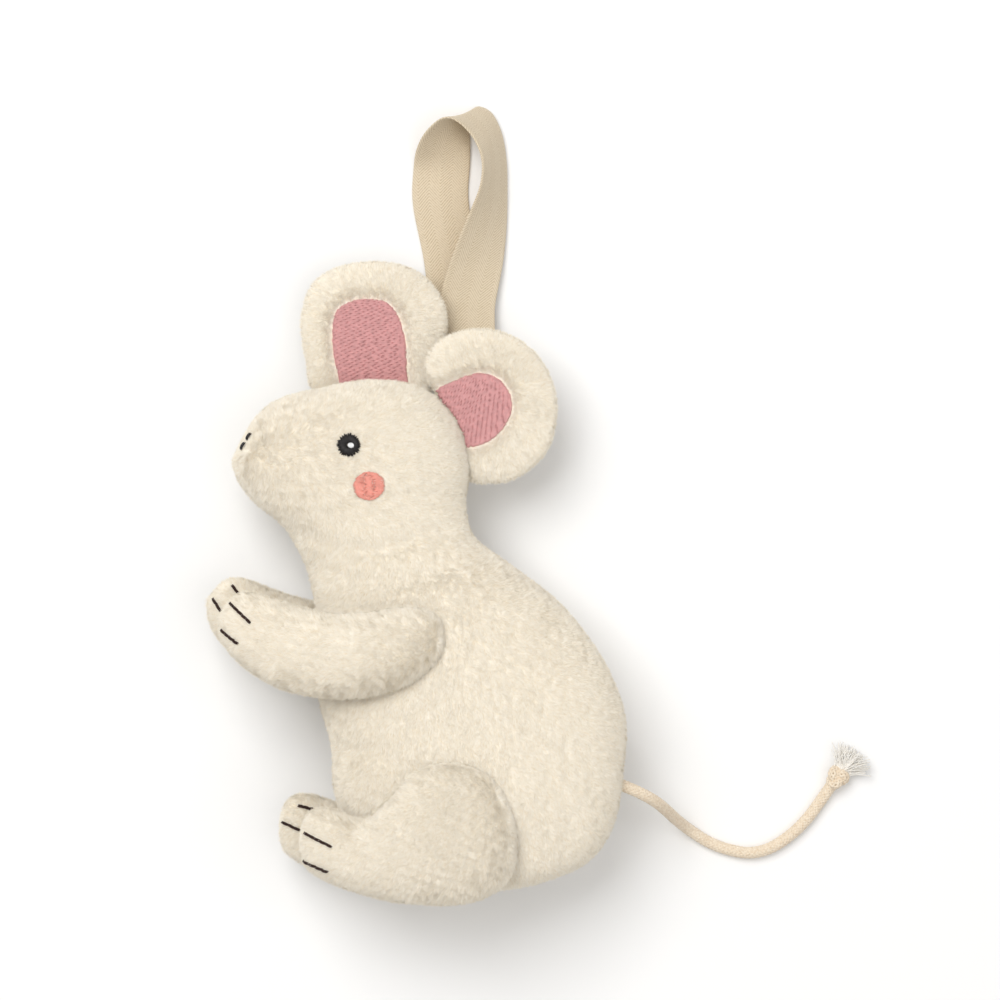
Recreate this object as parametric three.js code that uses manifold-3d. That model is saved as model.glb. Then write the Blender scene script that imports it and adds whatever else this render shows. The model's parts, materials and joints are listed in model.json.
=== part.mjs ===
// Clockwork mouse: a plush mouse lying on its right side, with a pull-cord musical movement inside.
// Millimetres. X runs from nose to rump, Y from seat to ears, Z up from the surface it lies on.
import * as THREE from 'three';
import { mergeGeometries, mergeVertices } from 'three/addons/utils/BufferGeometryUtils.js';
import Module from 'manifold-3d';

const wasm = await Module();
wasm.setup();

// ---- driving dimensions --------------------------------------------------------------------
const SEAM_HEIGHT = 34;          // body seam above the surface the toy lies on
const CENTRING = [-0.2, -0.3];   // brings the middle of the lying toy over the origin
const GAP = 0.3;                 // between pieces that touch in the real toy
const CLOTH = 2;                 // pile cloth with its backing
const BULGE = 2.3;               // roundness of a stuffed cross-section (2 is an ellipse)
const BODY_SECTIONS = 20;
const LIMB_CLEARANCE = 1;        // between a swinging limb and the body
const ARM_SWING = 14;            // degrees either way
const LEG_SWING = 12;
const EAR_BEND = 8;
const LOOP_SWING = 45;

// The body, from seat to nose: front edge x, y; back edge x, y; half thickness; height of the seam.
const BODY = [
  [28.3, -130, 28.3, -130, 0, 0],
  [13.3, -128.7, 43.3, -126.7, 12, 0],
  [-5, -123.3, 58.3, -119.7, 19, 0],
  [-20, -112.3, 66.3, -107.3, 23, 0],
  [-26.3, -97.3, 69.3, -89, 25, 0],
  [-27.3, -82.3, 70, -74, 25, 0],
  [-31.3, -67.3, 66, -60.7, 25, 0],
  [-33.3, -52.3, 58.3, -47.3, 24, 0],
  [-32.7, -38, 47, -34, 22, -1],
  [-35.3, -24, 31.7, -22.3, 20, -3],
  [-41, -12.3, 19.7, -13, 19.5, -4.5],
  [-45.3, -7.3, 16.7, -1.7, 21, -5.5],
  [-49, -4.3, 17.7, 11.7, 23.5, -6.5],
  [-52.3, -1.7, 13, 26.3, 24.5, -7.2],
  [-55, 1, 2.3, 36.7, 24, -7.2],
  [-57.3, 4, -14.3, 39.3, 22, -7.2],
  [-59, 7, -31, 36.7, 18.5, -7.2],
  [-60, 9.7, -45, 33, 13, -7.2],
  [-60.7, 12, -53, 26.7, 7.5, -7.2],
  [-58.3, 17, -58.3, 17, 0, -7.2],
];

// An arm from shoulder to paw and a leg from hip to toes: lower edge, upper edge, half thickness,
// height of its middle above the body's seam.
const ARM = [
  [10.7, -47.3, 10.7, -47.3, 0, 21],
  [7, -54.7, 7, -38, 8.5, 21],
  [-3.3, -61.7, -3.3, -36, 12, 21.7],
  [-16.7, -65, -15.7, -37.7, 12.7, 21.7],
  [-30, -65, -26.7, -38, 12.4, 19.5],
  [-43.3, -62.3, -37.3, -36, 11.5, 17],
  [-53.7, -56.7, -46.3, -33.3, 10.5, 14.5],
  [-60.3, -50.7, -53.3, -31.3, 9, 13],
  [-63.3, -45.3, -59, -32.5, 6, 12.2],
  [-64.3, -39, -64.3, -39, 0, 12],
];
const LEG = [
  [34.7, -113.3, 34.7, -113.3, 0, 20],
  [31.3, -124.7, 31.7, -100.7, 9, 20],
  [23.3, -130.7, 25, -90.7, 12.5, 21],
  [13.3, -133, 12.3, -86, 13.2, 21.5],
  [1, -132.7, 1, -89.7, 13.2, 21.3],
  [-8, -131.7, -8, -99, 12.8, 20.5],
  [-19, -129, -15.7, -105.3, 11.5, 17.5],
  [-28.3, -125.7, -26.7, -102.7, 10.5, 15.5],
  [-34.7, -121.7, -32.3, -102.7, 8, 14.5],
  [-36.7, -117, -35.7, -106.3, 5.5, 14],
  [-37, -112.3, -37, -112.3, 0, 14],
];
const TACK_RADIUS = 1.2;
const ARM_PIVOT = [-1, -49];
const LEG_PIVOT = [13, -111];
const FAR_ARM = { shift: [-6, 1], turn: -3.5 };    // how the underneath limbs sit against the upper ones
const FAR_LEG = { shift: [-8, 2], turn: -1 };

// Ears: outline, outline of the embroidered inner ear, middle height, fold line.
const EAR_HALF_THICKNESS = 4.5;
const UPPER_EAR = {
  outline: [[8.3, 32.7], [4, 44], [7, 51], [15, 55.3], [25, 56], [35, 52.3], [42.7, 44.3], [46.7, 32.7],
    [45, 19.3], [38.3, 10.7], [28.3, 6], [16, 8.7]],
  inner: [[9.7, 35], [14, 39.7], [21, 42], [27.7, 40.3], [32.3, 31], [30, 24.3], [25, 19.3], [19, 17.3],
    [15.7, 20.7]],
  height: -6,
  hinge: { at: [15.5, 24, -6], along: [0.31, -0.95, 0] },
};
const LOWER_EAR = {
  outline: [[-31, 35.3], [-36.3, 47], [-38, 59.3], [-34.7, 71.3], [-26.3, 77.3], [-15, 79.3], [-3.3, 77.7],
    [5, 72], [9.7, 62.7], [8.7, 51], [2.3, 35.3]],
  inner: [[-23.3, 37.3], [-28, 54.3], [-26.7, 62.7], [-22.3, 66.3], [-16.3, 67.3], [-10, 66.3], [-6, 62],
    [-3, 47], [-4.3, 38]],
  height: -20,
  hinge: { at: [-13, 40, -20], along: [1, 0, 0] },
};

// Face.
const EYE = { at: [-21.3, 17.7], radius: 3.9, height: 0.9 };
const GLINT = { at: [-20.6, 17.7], radius: 1.25, height: 0.5 };
const CHEEK = { at: [-14.7, 4.3], radius: 5, height: 0.8 };
const NOSE_STITCHES = [[[-55, 21.6], [-56, 19.8]], [[-57, 18.6], [-58.2, 16.6]]];
const PAW_STITCHES = [[[-59.6, -34.8], [-53.3, -40.7]], [[-62, -43], [-57.3, -47.3]]];
const FOOT_STITCHES = [[[-35, -109.8], [-26.7, -114]], [[-35.8, -118.6], [-27.7, -122]]];
const STITCH_RADIUS = 0.55;

// Hanging loop of cotton tape: its left and right edge, from the lower sewn end round to the upper one.
const TAPE_WIDTH = 19;
const TAPE_THICKNESS = 1;
const LOOP_EDGES = [
  [[9.5, 30, -16.5], [28.5, 30, -16.5]], [[7.5, 44, -26], [26.5, 44, -25.8]],
  [[5, 60, -30.4], [23.6, 60, -30.4]], [[3, 80, -33], [21.5, 80, -33]],
  [[-1.2, 100, -33.1], [18, 100, -33.1]], [[-0.8, 112.7, -32.6], [18, 111, -33]],
  [[1.7, 121, -24.4], [18, 119.3, -32.5]], [[7, 127, -17.8], [18, 125.3, -32.5]],
  [[11.3, 128.3, -15.8], [18.7, 130.3, -32.5]], [[15.3, 126.3, -16.2], [21, 133.2, -32.5]],
  [[19, 122.3, -17.2], [25.7, 131, -32.5]], [[21.7, 117.3, -16.8], [29, 124, -32.5]],
  [[22.7, 111.7, -16.2], [30.5, 114.3, -32.5]], [[21.7, 104.7, -16.4], [30.8, 104.7, -32.5]],
  [[18.7, 97.3, -18.4], [30.7, 94.7, -32.5]], [[14.7, 88, -21.4], [30, 84.7, -32]],
  [[11, 78, -24.8], [28.7, 76, -31]], [[8.6, 69.3, -26.8], [26.8, 66, -30]],
  [[8, 60, -27.6], [26.5, 59.3, -28.2]], [[8.3, 44, -24.2], [27.3, 44, -23.8]],
  [[9.5, 30, -14.9], [28.5, 30, -14.9]],
];
const LOOP_HINGE = { at: [19, 33, -17], along: [1, 0, 0] };

// Tail: the braided end of the pull cord.
const TAIL_DIAMETER = 3.8;
const TAIL_EXIT = [68, -95, 0];
const PULL_ANGLE = -20;                            // degrees, direction the cord is drawn in
const TAIL_ROUTE = [
  [75, -98, -1.2], [80.5, -101.3, -6], [84.5, -104.8, -14], [88, -108.3, -22.5], [92.6, -112.2, -29.5],
  [99, -116.4, -31.6], [105.5, -119, -31.8], [113.3, -120.3, -31.8], [120.5, -118.6, -31.8],
  [127.3, -114.2, -31.8], [133, -108.6, -31.8], [137.6, -102.4, -31.8], [140.2, -98.6, -31.2],
];
const KNOT = { at: [143, -94.6, -30], along: [0.6, 0.8, 0], long: 4.6, round: 3.9 };
const FRAY = { length: 9, narrow: 1.5, wide: 4.2, thick: 1.6 };

// Musical movement in its plastic case. Its own frame: x along the pull, y across, z up.
const MOVEMENT_AT = [20, -77, -5];
const CASE = { long: 48, wide: 40, deep: 26, wall: 1.6, corner: 6 };
const DRAW_CORD = { radius: 0.8, z: 5, y: -0.5 };
const DRUM = { x: 9, hub: 5, flange: 7.3, from: -4, to: 3 };
const AXLE_Z = DRAW_CORD.z - DRUM.hub - DRAW_CORD.radius;
const AXLE_RADIUS = 1;
const CYLINDER = { x: -7, radius: 5, from: -11, to: 11, pins: 10, rows: 4, pin: 0.6 };
const IDLER = { x: 4, pinion: 3.4, wheel: 4.6 };
const FLY = { x: 10.3, y: -8.2, worm: 1.4, bottom: -7.6, top: 9.2, fan: 3.4 };
const WHEEL_THICKNESS = 1.6;
const BEDPLATE = { long: 43, wide: 35, bottom: -11, top: -9.6 };
const COMB = { teeth: 18, tip: -13.1, root: -18, back: -21.4, thickness: 0.9 };

// ---- helpers --------------------------------------------------------------------------------
const radians = THREE.MathUtils.degToRad;
const vector = (point) => new THREE.Vector3(point[0], point[1], point[2] ?? 0);
const group = new THREE.Group();

const FINISHES = {
  plush: [0xf2e8d2, 0.95, 0],
  ear_thread: [0xd9a09c, 0.8, 0],
  cheek_thread: [0xf0a08c, 0.85, 0],
  black_thread: [0x1c1a1a, 0.6, 0],
  white_thread: [0xfafafa, 0.6, 0],
  brown_thread: [0x3a2a22, 0.7, 0],
  stuffing: [0xf6f6f2, 1, 0],
  tape: [0xe3cfae, 0.9, 0],
  cord: [0xead9bf, 0.9, 0],
  case_plastic: [0xf3f1ea, 0.45, 0],
  brass: [0xc9a24b, 0.35, 0.9],
  steel: [0xb9bcc0, 0.3, 0.9],
  nylon: [0xf4f4f4, 0.5, 0],
};

function addNode(name, geometry, finish) {
  const [color, roughness, metalness] = FINISHES[finish];
  const clean = geometry.index ? geometry.toNonIndexed() : geometry.clone();
  clean.computeVertexNormals();
  const mesh = new THREE.Mesh(clean, new THREE.MeshStandardMaterial({ color, roughness, metalness }));
  mesh.name = name;
  group.add(mesh);
}

function welded(geometry) {
  const bare = geometry.clone();
  bare.deleteAttribute('normal');
  bare.deleteAttribute('uv');
  return mergeVertices(bare, 1e-4);
}

function toSolid(geometry) {
  const bare = welded(geometry);
  return new wasm.Manifold(new wasm.Mesh({
    numProp: 3,
    vertProperties: new Float32Array(bare.attributes.position.array),
    triVerts: new Uint32Array(bare.index.array),
  }));
}

function toGeometry(solid) {
  const mesh = solid.getMesh();
  const geometry = new THREE.BufferGeometry();
  geometry.setAttribute('position', new THREE.BufferAttribute(new Float32Array(mesh.vertProperties), 3));
  geometry.setIndex(new THREE.BufferAttribute(new Uint32Array(mesh.triVerts), 1));
  return geometry;
}

function without(geometry, ...cutters) {
  let solid = toSolid(geometry);
  for (const cutter of cutters) solid = solid.subtract(toSolid(cutter));
  return toGeometry(solid);
}

function joined(geometry, ...others) {
  let solid = toSolid(geometry);
  for (const other of others) solid = solid.add(toSolid(other));
  return toGeometry(solid);
}

// A closed skin over closed rings of points, drawn together at a point at each end.
function loft(rings, start, end) {
  const around = rings[0].length;
  const points = [start, ...rings.flat(), end];
  const last = points.length - 1;
  const at = (ring, step) => 1 + ring * around + (step % around);
  const faces = [];
  for (let step = 0; step < around; step += 1) {
    faces.push(0, at(0, step + 1), at(0, step));
    faces.push(last, at(rings.length - 1, step), at(rings.length - 1, step + 1));
    for (let ring = 0; ring < rings.length - 1; ring += 1) {
      faces.push(at(ring, step), at(ring, step + 1), at(ring + 1, step + 1));
      faces.push(at(ring, step), at(ring + 1, step + 1), at(ring + 1, step));
    }
  }
  let volume = 0;
  for (let i = 0; i < faces.length; i += 3) {
    const [a, b, c] = [points[faces[i]], points[faces[i + 1]], points[faces[i + 2]]];
    volume += a.dot(b.clone().cross(c));
  }
  if (volume < 0) faces.reverse();
  const geometry = new THREE.BufferGeometry();
  const numbers = points.flatMap((p) => [p.x, p.y, p.z]);
  geometry.setAttribute('position', new THREE.Float32BufferAttribute(numbers, 3));
  geometry.setIndex(faces);
  return geometry;
}

// Cross-sections of a stuffed shape given by rows of edge points, half thickness and middle height.
function sections(rows, count) {
  const near = new THREE.CatmullRomCurve3(rows.map((row) => new THREE.Vector3(row[0], row[1], row[4])));
  const far = new THREE.CatmullRomCurve3(rows.map((row) => new THREE.Vector3(row[2], row[3], row[5])));
  const list = [];
  for (let i = 0; i <= count; i += 1) {
    const share = i / count;
    const along = 0.5 - 0.5 * Math.cos(Math.PI * share);
    const position = 0.65 * share + 0.35 * along;
    const a = near.getPoint(position);
    const b = far.getPoint(position);
    list.push({
      middle: new THREE.Vector3((a.x + b.x) / 2, (a.y + b.y) / 2, b.z),
      across: new THREE.Vector3((a.x - b.x) / 2, (a.y - b.y) / 2, 0),
      half: Math.max(a.z, 0),
    });
  }
  return list;
}

function rise(share) {
  return (1 - Math.min(Math.abs(share), 1) ** BULGE) ** (1 / BULGE);
}

// A stuffed shape: both faces bulge from the seam; `grow` moves the whole surface outwards.
function stuffed(rows, count, around, grow = 0, floor = -SEAM_HEIGHT) {
  const roomy = ({ across, half }) => grow >= 0 || Math.min(across.length(), half) + grow > 2;
  const list = sections(rows, count).filter(roomy);
  const rings = (grow < 0 ? list : list.slice(1, -1)).map(({ middle, across, half }) => {
    const width = across.length();
    const reach = across.clone().multiplyScalar(Math.max(width + grow, 0.4) / width);
    const ring = [];
    for (let step = 0; step < around; step += 1) {
      const angle = (2 * Math.PI * step) / around;
      const share = Math.cos(angle);
      const side = Math.sign(Math.round(Math.sin(angle) * 1e6));
      const point = middle.clone().addScaledVector(reach, share);
      point.z += side * Math.max(half + grow, 0.3) * rise(share);
      point.z = Math.max(point.z, floor);
      ring.push(point);
    }
    return ring;
  });
  const ends = [list[0].middle.clone(), list.at(-1).middle.clone()];
  if (grow > 0) {
    ends[0].add(list[0].middle.clone().sub(list[1].middle).setLength(grow));
    ends[1].add(list.at(-1).middle.clone().sub(list.at(-2).middle).setLength(grow));
  }
  return loft(rings, ends[0], ends[1]);
}

// One half of the body's cloth: a bowl open towards the seam.
function clothHalf(side) {
  const list = sections(BODY, BODY_SECTIONS);
  const steps = 10;
  const rings = list.slice(1, -1).map(({ middle, across, half }) => {
    const width = across.length();
    const open = Math.min(width, half) > CLOTH + 1;
    const inner = open ? (width - CLOTH) / width : 0.6;
    const depth = open ? half - CLOTH : 0;
    const edgePoint = (share, reach, height) => middle.clone().addScaledVector(across, share * reach)
      .setZ(middle.z + side * (GAP / 2 + height * rise(share)));
    const upper = [];
    const lower = [];
    for (let step = 0; step <= steps; step += 1) {
      const share = Math.cos((Math.PI * step) / steps);
      upper.push(edgePoint(share, 1, half));
      lower.push(edgePoint(share, inner, depth));
    }
    return [...upper, ...lower.reverse()];
  });
  const ends = [list[0].middle.clone(), list.at(-1).middle.clone()];
  for (const end of ends) end.z += (side * GAP) / 2;
  return loft(rings, ends[0], ends[1]);
}

function turnedAbout(geometry, at, along, degrees) {
  const copy = geometry.clone();
  copy.translate(-at[0], -at[1], -at[2]);
  copy.applyMatrix4(new THREE.Matrix4().makeRotationAxis(vector(along).normalize(), radians(degrees)));
  return copy.translate(at[0], at[1], at[2]);
}

const bodyKeepOut = stuffed(BODY, BODY_SECTIONS, 20, LIMB_CLEARANCE, -SEAM_HEIGHT - LIMB_CLEARANCE);

// Cuts away whatever of a hinged piece would meet the body anywhere in its swing.
function clearOfBody(geometry, hinge, turns) {
  const cutters = turns.map((turn) => turnedAbout(bodyKeepOut, hinge.at, hinge.along, -turn));
  const solid = toSolid(without(geometry, ...cutters));
  const largest = solid.decompose().sort((a, b) => b.volume() - a.volume())[0];
  return toGeometry(largest);
}

// Height of a surface above (side 1) or below (side -1) a point of the plan.
function surfaceAt(geometry, x, y, side) {
  const position = geometry.attributes.position;
  const index = geometry.index;
  const corner = (i) => new THREE.Vector3().fromBufferAttribute(position, index.getX(i));
  let best = null;
  for (let i = 0; i < index.count; i += 3) {
    const [a, b, c] = [corner(i), corner(i + 1), corner(i + 2)];
    const area = (b.x - a.x) * (c.y - a.y) - (c.x - a.x) * (b.y - a.y);
    if (Math.abs(area) < 1e-9) continue;
    const u = ((b.x - x) * (c.y - y) - (c.x - x) * (b.y - y)) / area;
    const v = ((c.x - x) * (a.y - y) - (a.x - x) * (c.y - y)) / area;
    const w = 1 - u - v;
    if (u < 0 || v < 0 || w < 0) continue;
    const z = u * a.z + v * b.z + w * c.z;
    if (best === null || side * z > side * best) best = z;
  }
  return best;
}

// A low pad of thread lying on a surface; `edge` gives its outline as a reach for each direction.
function threadPad(surface, at, edge, height, side, around = 12, gap = GAP) {
  const lift = (x, y, extra) => surfaceAt(surface, x, y, side) + side * (gap + extra);
  const ring = (share, extra) => {
    const points = [];
    for (let step = 0; step < around; step += 1) {
      const angle = (2 * Math.PI * step) / around;
      const x = at[0] + edge(angle) * share * Math.cos(angle);
      const y = at[1] + edge(angle) * share * Math.sin(angle);
      points.push(new THREE.Vector3(x, y, lift(x, y, extra)));
    }
    return points;
  };
  const rings = [ring(0.5, 0), ring(1, 0), ring(0.96, height * 0.7), ring(0.6, height)];
  const bottom = new THREE.Vector3(at[0], at[1], lift(at[0], at[1], 0));
  const top = new THREE.Vector3(at[0], at[1], lift(at[0], at[1], height));
  return loft(rings, bottom, top);
}

// A stitch of thick thread laid over a surface between two points of the plan.
function stitch(surface, from, to, side) {
  const step = 0.5;
  const points = [0, 0.2, 0.4, 0.6, 0.8, 1].map((share) => {
    const x = THREE.MathUtils.lerp(from[0], to[0], share);
    const y = THREE.MathUtils.lerp(from[1], to[1], share);
    const z = surfaceAt(surface, x, y, side);
    const slope = (dx, dy) => ((surfaceAt(surface, x + dx, y + dy, side) ?? z - side) - z) / step;
    const outward = new THREE.Vector3(-slope(step, 0), -slope(0, step), 1).multiplyScalar(side).normalize();
    if (side < 0) outward.set(slope(step, 0), slope(0, step), -1).normalize();
    return new THREE.Vector3(x, y, z).addScaledVector(outward, STITCH_RADIUS + GAP + 0.25);
  });
  return tube(points, STITCH_RADIUS, 5, 6);
}

function tube(points, radius, steps, sides) {
  const circle = new THREE.Shape();
  for (let side = 0; side < sides; side += 1) {
    const angle = (2 * Math.PI * side) / sides;
    const corner = [radius * Math.cos(angle), radius * Math.sin(angle)];
    if (side === 0) circle.moveTo(...corner);
    else circle.lineTo(...corner);
  }
  circle.closePath();
  const path = new THREE.CatmullRomCurve3(points);
  return new THREE.ExtrudeGeometry(circle, { steps, extrudePath: path, bevelEnabled: false });
}

// ---- the plush outside ----------------------------------------------------------------------
function farPoint(point, pivot, seat) {
  const turn = radians(seat.turn);
  const [dx, dy] = [point[0] - pivot[0], point[1] - pivot[1]];
  return [
    pivot[0] + dx * Math.cos(turn) - dy * Math.sin(turn) + seat.shift[0],
    pivot[1] + dx * Math.sin(turn) + dy * Math.cos(turn) + seat.shift[1],
  ];
}

function farRows(rows, pivot, seat) {
  const moved = (x, y) => farPoint([x, y], pivot, seat);
  return rows.map((row) => [...moved(row[0], row[1]), ...moved(row[2], row[3]), row[4], -row[5]]);
}

function rod(radius, from, to, at, sides = 12) {
  const geometry = new THREE.CylinderGeometry(radius, radius, to - from, sides);
  return geometry.rotateX(Math.PI / 2).translate(at[0], at[1], (from + to) / 2);
}

const bodySurface = stuffed(BODY, BODY_SECTIONS, 20);

// Everything below the surface the toy lies on: cutting it away leaves the flat it rests on.
function underTheFloor() {
  const depth = 20;
  return new THREE.BoxGeometry(300, 400, depth).translate(0, 0, -SEAM_HEIGHT - depth / 2);
}

function makeLimb(name, rows, pivot, side, swing, stitches) {
  const hinge = { at: [pivot[0], pivot[1], 0], along: [0, 0, 1] };
  const whole = stuffed(rows, 12, 12, 0, -2 * SEAM_HEIGHT);
  const fitted = clearOfBody(whole, hinge, [-swing, 0, swing]);
  const inner = Math.abs(surfaceAt(bodySurface, pivot[0], pivot[1], side));
  const ends = [side * (inner - CLOTH - 1), side * (inner + LIMB_CLEARANCE + 3)];
  const [low, high] = [Math.min(...ends), Math.max(...ends)];
  const tack = rod(TACK_RADIUS, low, high, pivot);
  const hole = rod(TACK_RADIUS + GAP, low - GAP, high + GAP, pivot);
  addNode(name, without(fitted, hole, underTheFloor()), 'plush');
  addNode(`${name}_tack`, tack, 'white_thread');
  stitches.forEach(([from, to], order) => {
    addNode(`${name}_toe_${order + 1}`, stitch(whole, from, to, side), 'brown_thread');
  });
  return hole;
}

function makeLimbs() {
  const far = (list, pivot, seat) => list.map((pair) => pair.map((point) => farPoint(point, pivot, seat)));
  const farArm = farPoint(ARM_PIVOT, ARM_PIVOT, FAR_ARM);
  const farLeg = farPoint(LEG_PIVOT, LEG_PIVOT, FAR_LEG);
  return [
    makeLimb('arm_left', ARM, ARM_PIVOT, 1, ARM_SWING, PAW_STITCHES),
    makeLimb('arm_right', farRows(ARM, ARM_PIVOT, FAR_ARM), farArm, -1, ARM_SWING,
      far(PAW_STITCHES, ARM_PIVOT, FAR_ARM)),
    makeLimb('leg_left', LEG, LEG_PIVOT, 1, LEG_SWING, FOOT_STITCHES),
    makeLimb('leg_right', farRows(LEG, LEG_PIVOT, FAR_LEG), farLeg, -1, LEG_SWING,
      far(FOOT_STITCHES, LEG_PIVOT, FAR_LEG)),
  ];
}

function closedReach(points, at) {
  const curve = new THREE.CatmullRomCurve3(points.map(vector), true);
  const samples = curve.getPoints(90).map((p) => ({
    angle: Math.atan2(p.y - at[1], p.x - at[0]),
    reach: Math.hypot(p.x - at[0], p.y - at[1]),
  }));
  return (angle) => {
    const off = (sample) => {
      const turn = sample.angle - angle;
      return Math.abs(Math.atan2(Math.sin(turn), Math.cos(turn)));
    };
    return samples.reduce((best, sample) => (off(sample) < off(best) ? sample : best)).reach;
  };
}

function middleOf(points) {
  const sum = points.reduce((total, point) => [total[0] + point[0], total[1] + point[1]], [0, 0]);
  return [sum[0] / points.length, sum[1] / points.length];
}

// One cloth face of an ear: fat at the rim, hollowed where the inner ear is embroidered.
function earFace(ear, side) {
  const at = middleOf(ear.outline);
  const reach = closedReach(ear.outline, at);
  const around = 18;
  const hollow = side > 0 ? 0.35 : 0.15;
  const ring = (share, inner) => {
    const points = [];
    for (let step = 0; step < around; step += 1) {
      const angle = (2 * Math.PI * step) / around;
      const dish = 1 - hollow * (1 - THREE.MathUtils.smoothstep(share, 0.55, 0.85));
      const bulge = inner ? 0 : EAR_HALF_THICKNESS * dish * (1 - share ** 5) ** 0.5;
      points.push(new THREE.Vector3(
        at[0] + reach(angle) * share * Math.cos(angle),
        at[1] + reach(angle) * share * Math.sin(angle),
        ear.height + side * (GAP / 2 + bulge),
      ));
    }
    return points;
  };
  const rings = [ring(0.5, true), ring(1, true), ring(0.96, false), ring(0.85, false), ring(0.7, false),
    ring(0.5, false), ring(0.25, false)];
  const base = new THREE.Vector3(at[0], at[1], ear.height + side * (GAP / 2));
  const top = base.clone();
  top.z += side * EAR_HALF_THICKNESS * (1 - hollow);
  return loft(rings, base, top);
}

function makeEar(name, ear) {
  const turns = [-EAR_BEND, 0, EAR_BEND];
  const front = earFace(ear, 1);
  const at = middleOf(ear.inner);
  const patch = threadPad(front, at, closedReach(ear.inner, at), 0.9, 1, 16, 3 * GAP);
  addNode(`${name}_front`, clearOfBody(front, ear.hinge, turns), 'plush');
  addNode(`${name}_back`, clearOfBody(earFace(ear, -1), ear.hinge, turns), 'plush');
  addNode(`${name}_inner`, clearOfBody(patch, ear.hinge, turns), 'ear_thread');
}

function makeFace() {
  const round = (radius) => () => radius;
  for (const [name, side] of [['left', 1], ['right', -1]]) {
    const eye = threadPad(bodySurface, EYE.at, round(EYE.radius), EYE.height, side);
    addNode(`eye_${name}`, eye, 'black_thread');
    addNode(`eye_glint_${name}`, threadPad(eye, GLINT.at, round(GLINT.radius), GLINT.height, side, 10),
      'white_thread');
    addNode(`cheek_${name}`, threadPad(bodySurface, CHEEK.at, round(CHEEK.radius), CHEEK.height, side),
      'cheek_thread');
  }
  NOSE_STITCHES.forEach(([from, to], order) => {
    addNode(`nose_stitch_${order + 1}`, stitch(bodySurface, from, to, 1), 'black_thread');
  });
}

function makeLoop() {
  const edge = (side) => new THREE.CatmullRomCurve3(LOOP_EDGES.map((row) => vector(row[side])));
  const [left, right] = [edge(0), edge(1)];
  const centreAt = (share) => left.getPoint(share).add(right.getPoint(share)).multiplyScalar(0.5);
  const count = 60;
  const rings = [];
  for (let i = 0; i <= count; i += 1) {
    const share = i / count;
    const point = centreAt(share);
    const step = 0.25 / count;
    const along = centreAt(Math.min(share + step, 1)).sub(centreAt(Math.max(share - step, 0))).normalize();
    const across = right.getPoint(share).sub(left.getPoint(share)).normalize();
    const up = new THREE.Vector3().crossVectors(across, along).normalize();
    const corner = (a, b) => point.clone().addScaledVector(across, (a * TAPE_WIDTH) / 2)
      .addScaledVector(up, (b * TAPE_THICKNESS) / 2);
    rings.push([corner(-1, -1), corner(1, -1), corner(1, 1), corner(-1, 1)]);
  }
  const strip = loft(rings, centreAt(0), centreAt(1));
  addNode('hang_loop', clearOfBody(strip, LOOP_HINGE, [-LOOP_SWING, -LOOP_SWING / 2, 0]), 'tape');
}

const pull = vector([Math.cos(radians(PULL_ANGLE)), Math.sin(radians(PULL_ANGLE)), 0]);
const tailStart = vector(TAIL_EXIT).addScaledVector(pull, -5);

function makeTail() {
  const route = [tailStart, vector(TAIL_EXIT), ...TAIL_ROUTE.map(vector)];
  addNode('tail_cord', tube(route, TAIL_DIAMETER / 2, 38, 8), 'cord');
  const lean = new THREE.Quaternion().setFromUnitVectors(new THREE.Vector3(0, 1, 0), vector(KNOT.along));
  const knot = new THREE.SphereGeometry(1, 12, 8).scale(KNOT.round, KNOT.long, KNOT.round);
  knot.applyQuaternion(lean).translate(...KNOT.at);
  const route3 = tube(route, TAIL_DIAMETER / 2 + GAP, 38, 8);
  addNode('tail_knot', without(knot, route3), 'cord');
  const fan = new THREE.CylinderGeometry(FRAY.wide, FRAY.narrow, FRAY.length, 12);
  fan.scale(1, 1, FRAY.thick / FRAY.wide).translate(0, KNOT.long + GAP + FRAY.length / 2, 0);
  addNode('tail_fray', fan.applyQuaternion(lean).translate(...KNOT.at), 'cord');
}

function makeBody(limbHoles) {
  const along = new THREE.Quaternion().setFromUnitVectors(new THREE.Vector3(0, 1, 0), pull);
  const channel = new THREE.CylinderGeometry(2.6, 2.6, 44, 12).applyQuaternion(along);
  const middle = vector(TAIL_EXIT).addScaledVector(pull, -20);
  channel.translate(middle.x, middle.y, middle.z);
  const [roomFloor, roomRoof] = [-CASE.deep / 2 - 1.4, CASE.deep / 2 + 0.5];
  const room = placed(roundedBox(CASE.long + 1, CASE.wide + 1, roomFloor, roomRoof, 6));
  const inside = stuffed(BODY, BODY_SECTIONS, 20, -CLOTH - 0.6);
  addNode('body_left_panel', without(clothHalf(1), channel, ...limbHoles), 'plush');
  addNode('body_right_panel', without(clothHalf(-1), channel, ...limbHoles), 'plush');
  addNode('body_stuffing', without(inside, room, channel, ...limbHoles), 'stuffing');
}

// ---- the musical movement -------------------------------------------------------------------
function placed(geometry) {
  return geometry.rotateZ(radians(PULL_ANGLE)).translate(...MOVEMENT_AT);
}

function roundedBox(long, wide, from, to, corner) {
  const [x, y] = [long / 2, wide / 2];
  const shape = new THREE.Shape();
  shape.moveTo(-x + corner, -y);
  shape.lineTo(x - corner, -y);
  shape.absarc(x - corner, -y + corner, corner, -Math.PI / 2, 0);
  shape.lineTo(x, y - corner);
  shape.absarc(x - corner, y - corner, corner, 0, Math.PI / 2);
  shape.lineTo(-x + corner, y);
  shape.absarc(-x + corner, y - corner, corner, Math.PI / 2, Math.PI);
  shape.lineTo(-x, -y + corner);
  shape.absarc(-x + corner, -y + corner, corner, Math.PI, 1.5 * Math.PI);
  const options = { depth: to - from, bevelEnabled: false, curveSegments: 4 };
  return new THREE.ExtrudeGeometry(shape, options).translate(0, 0, from);
}

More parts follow.
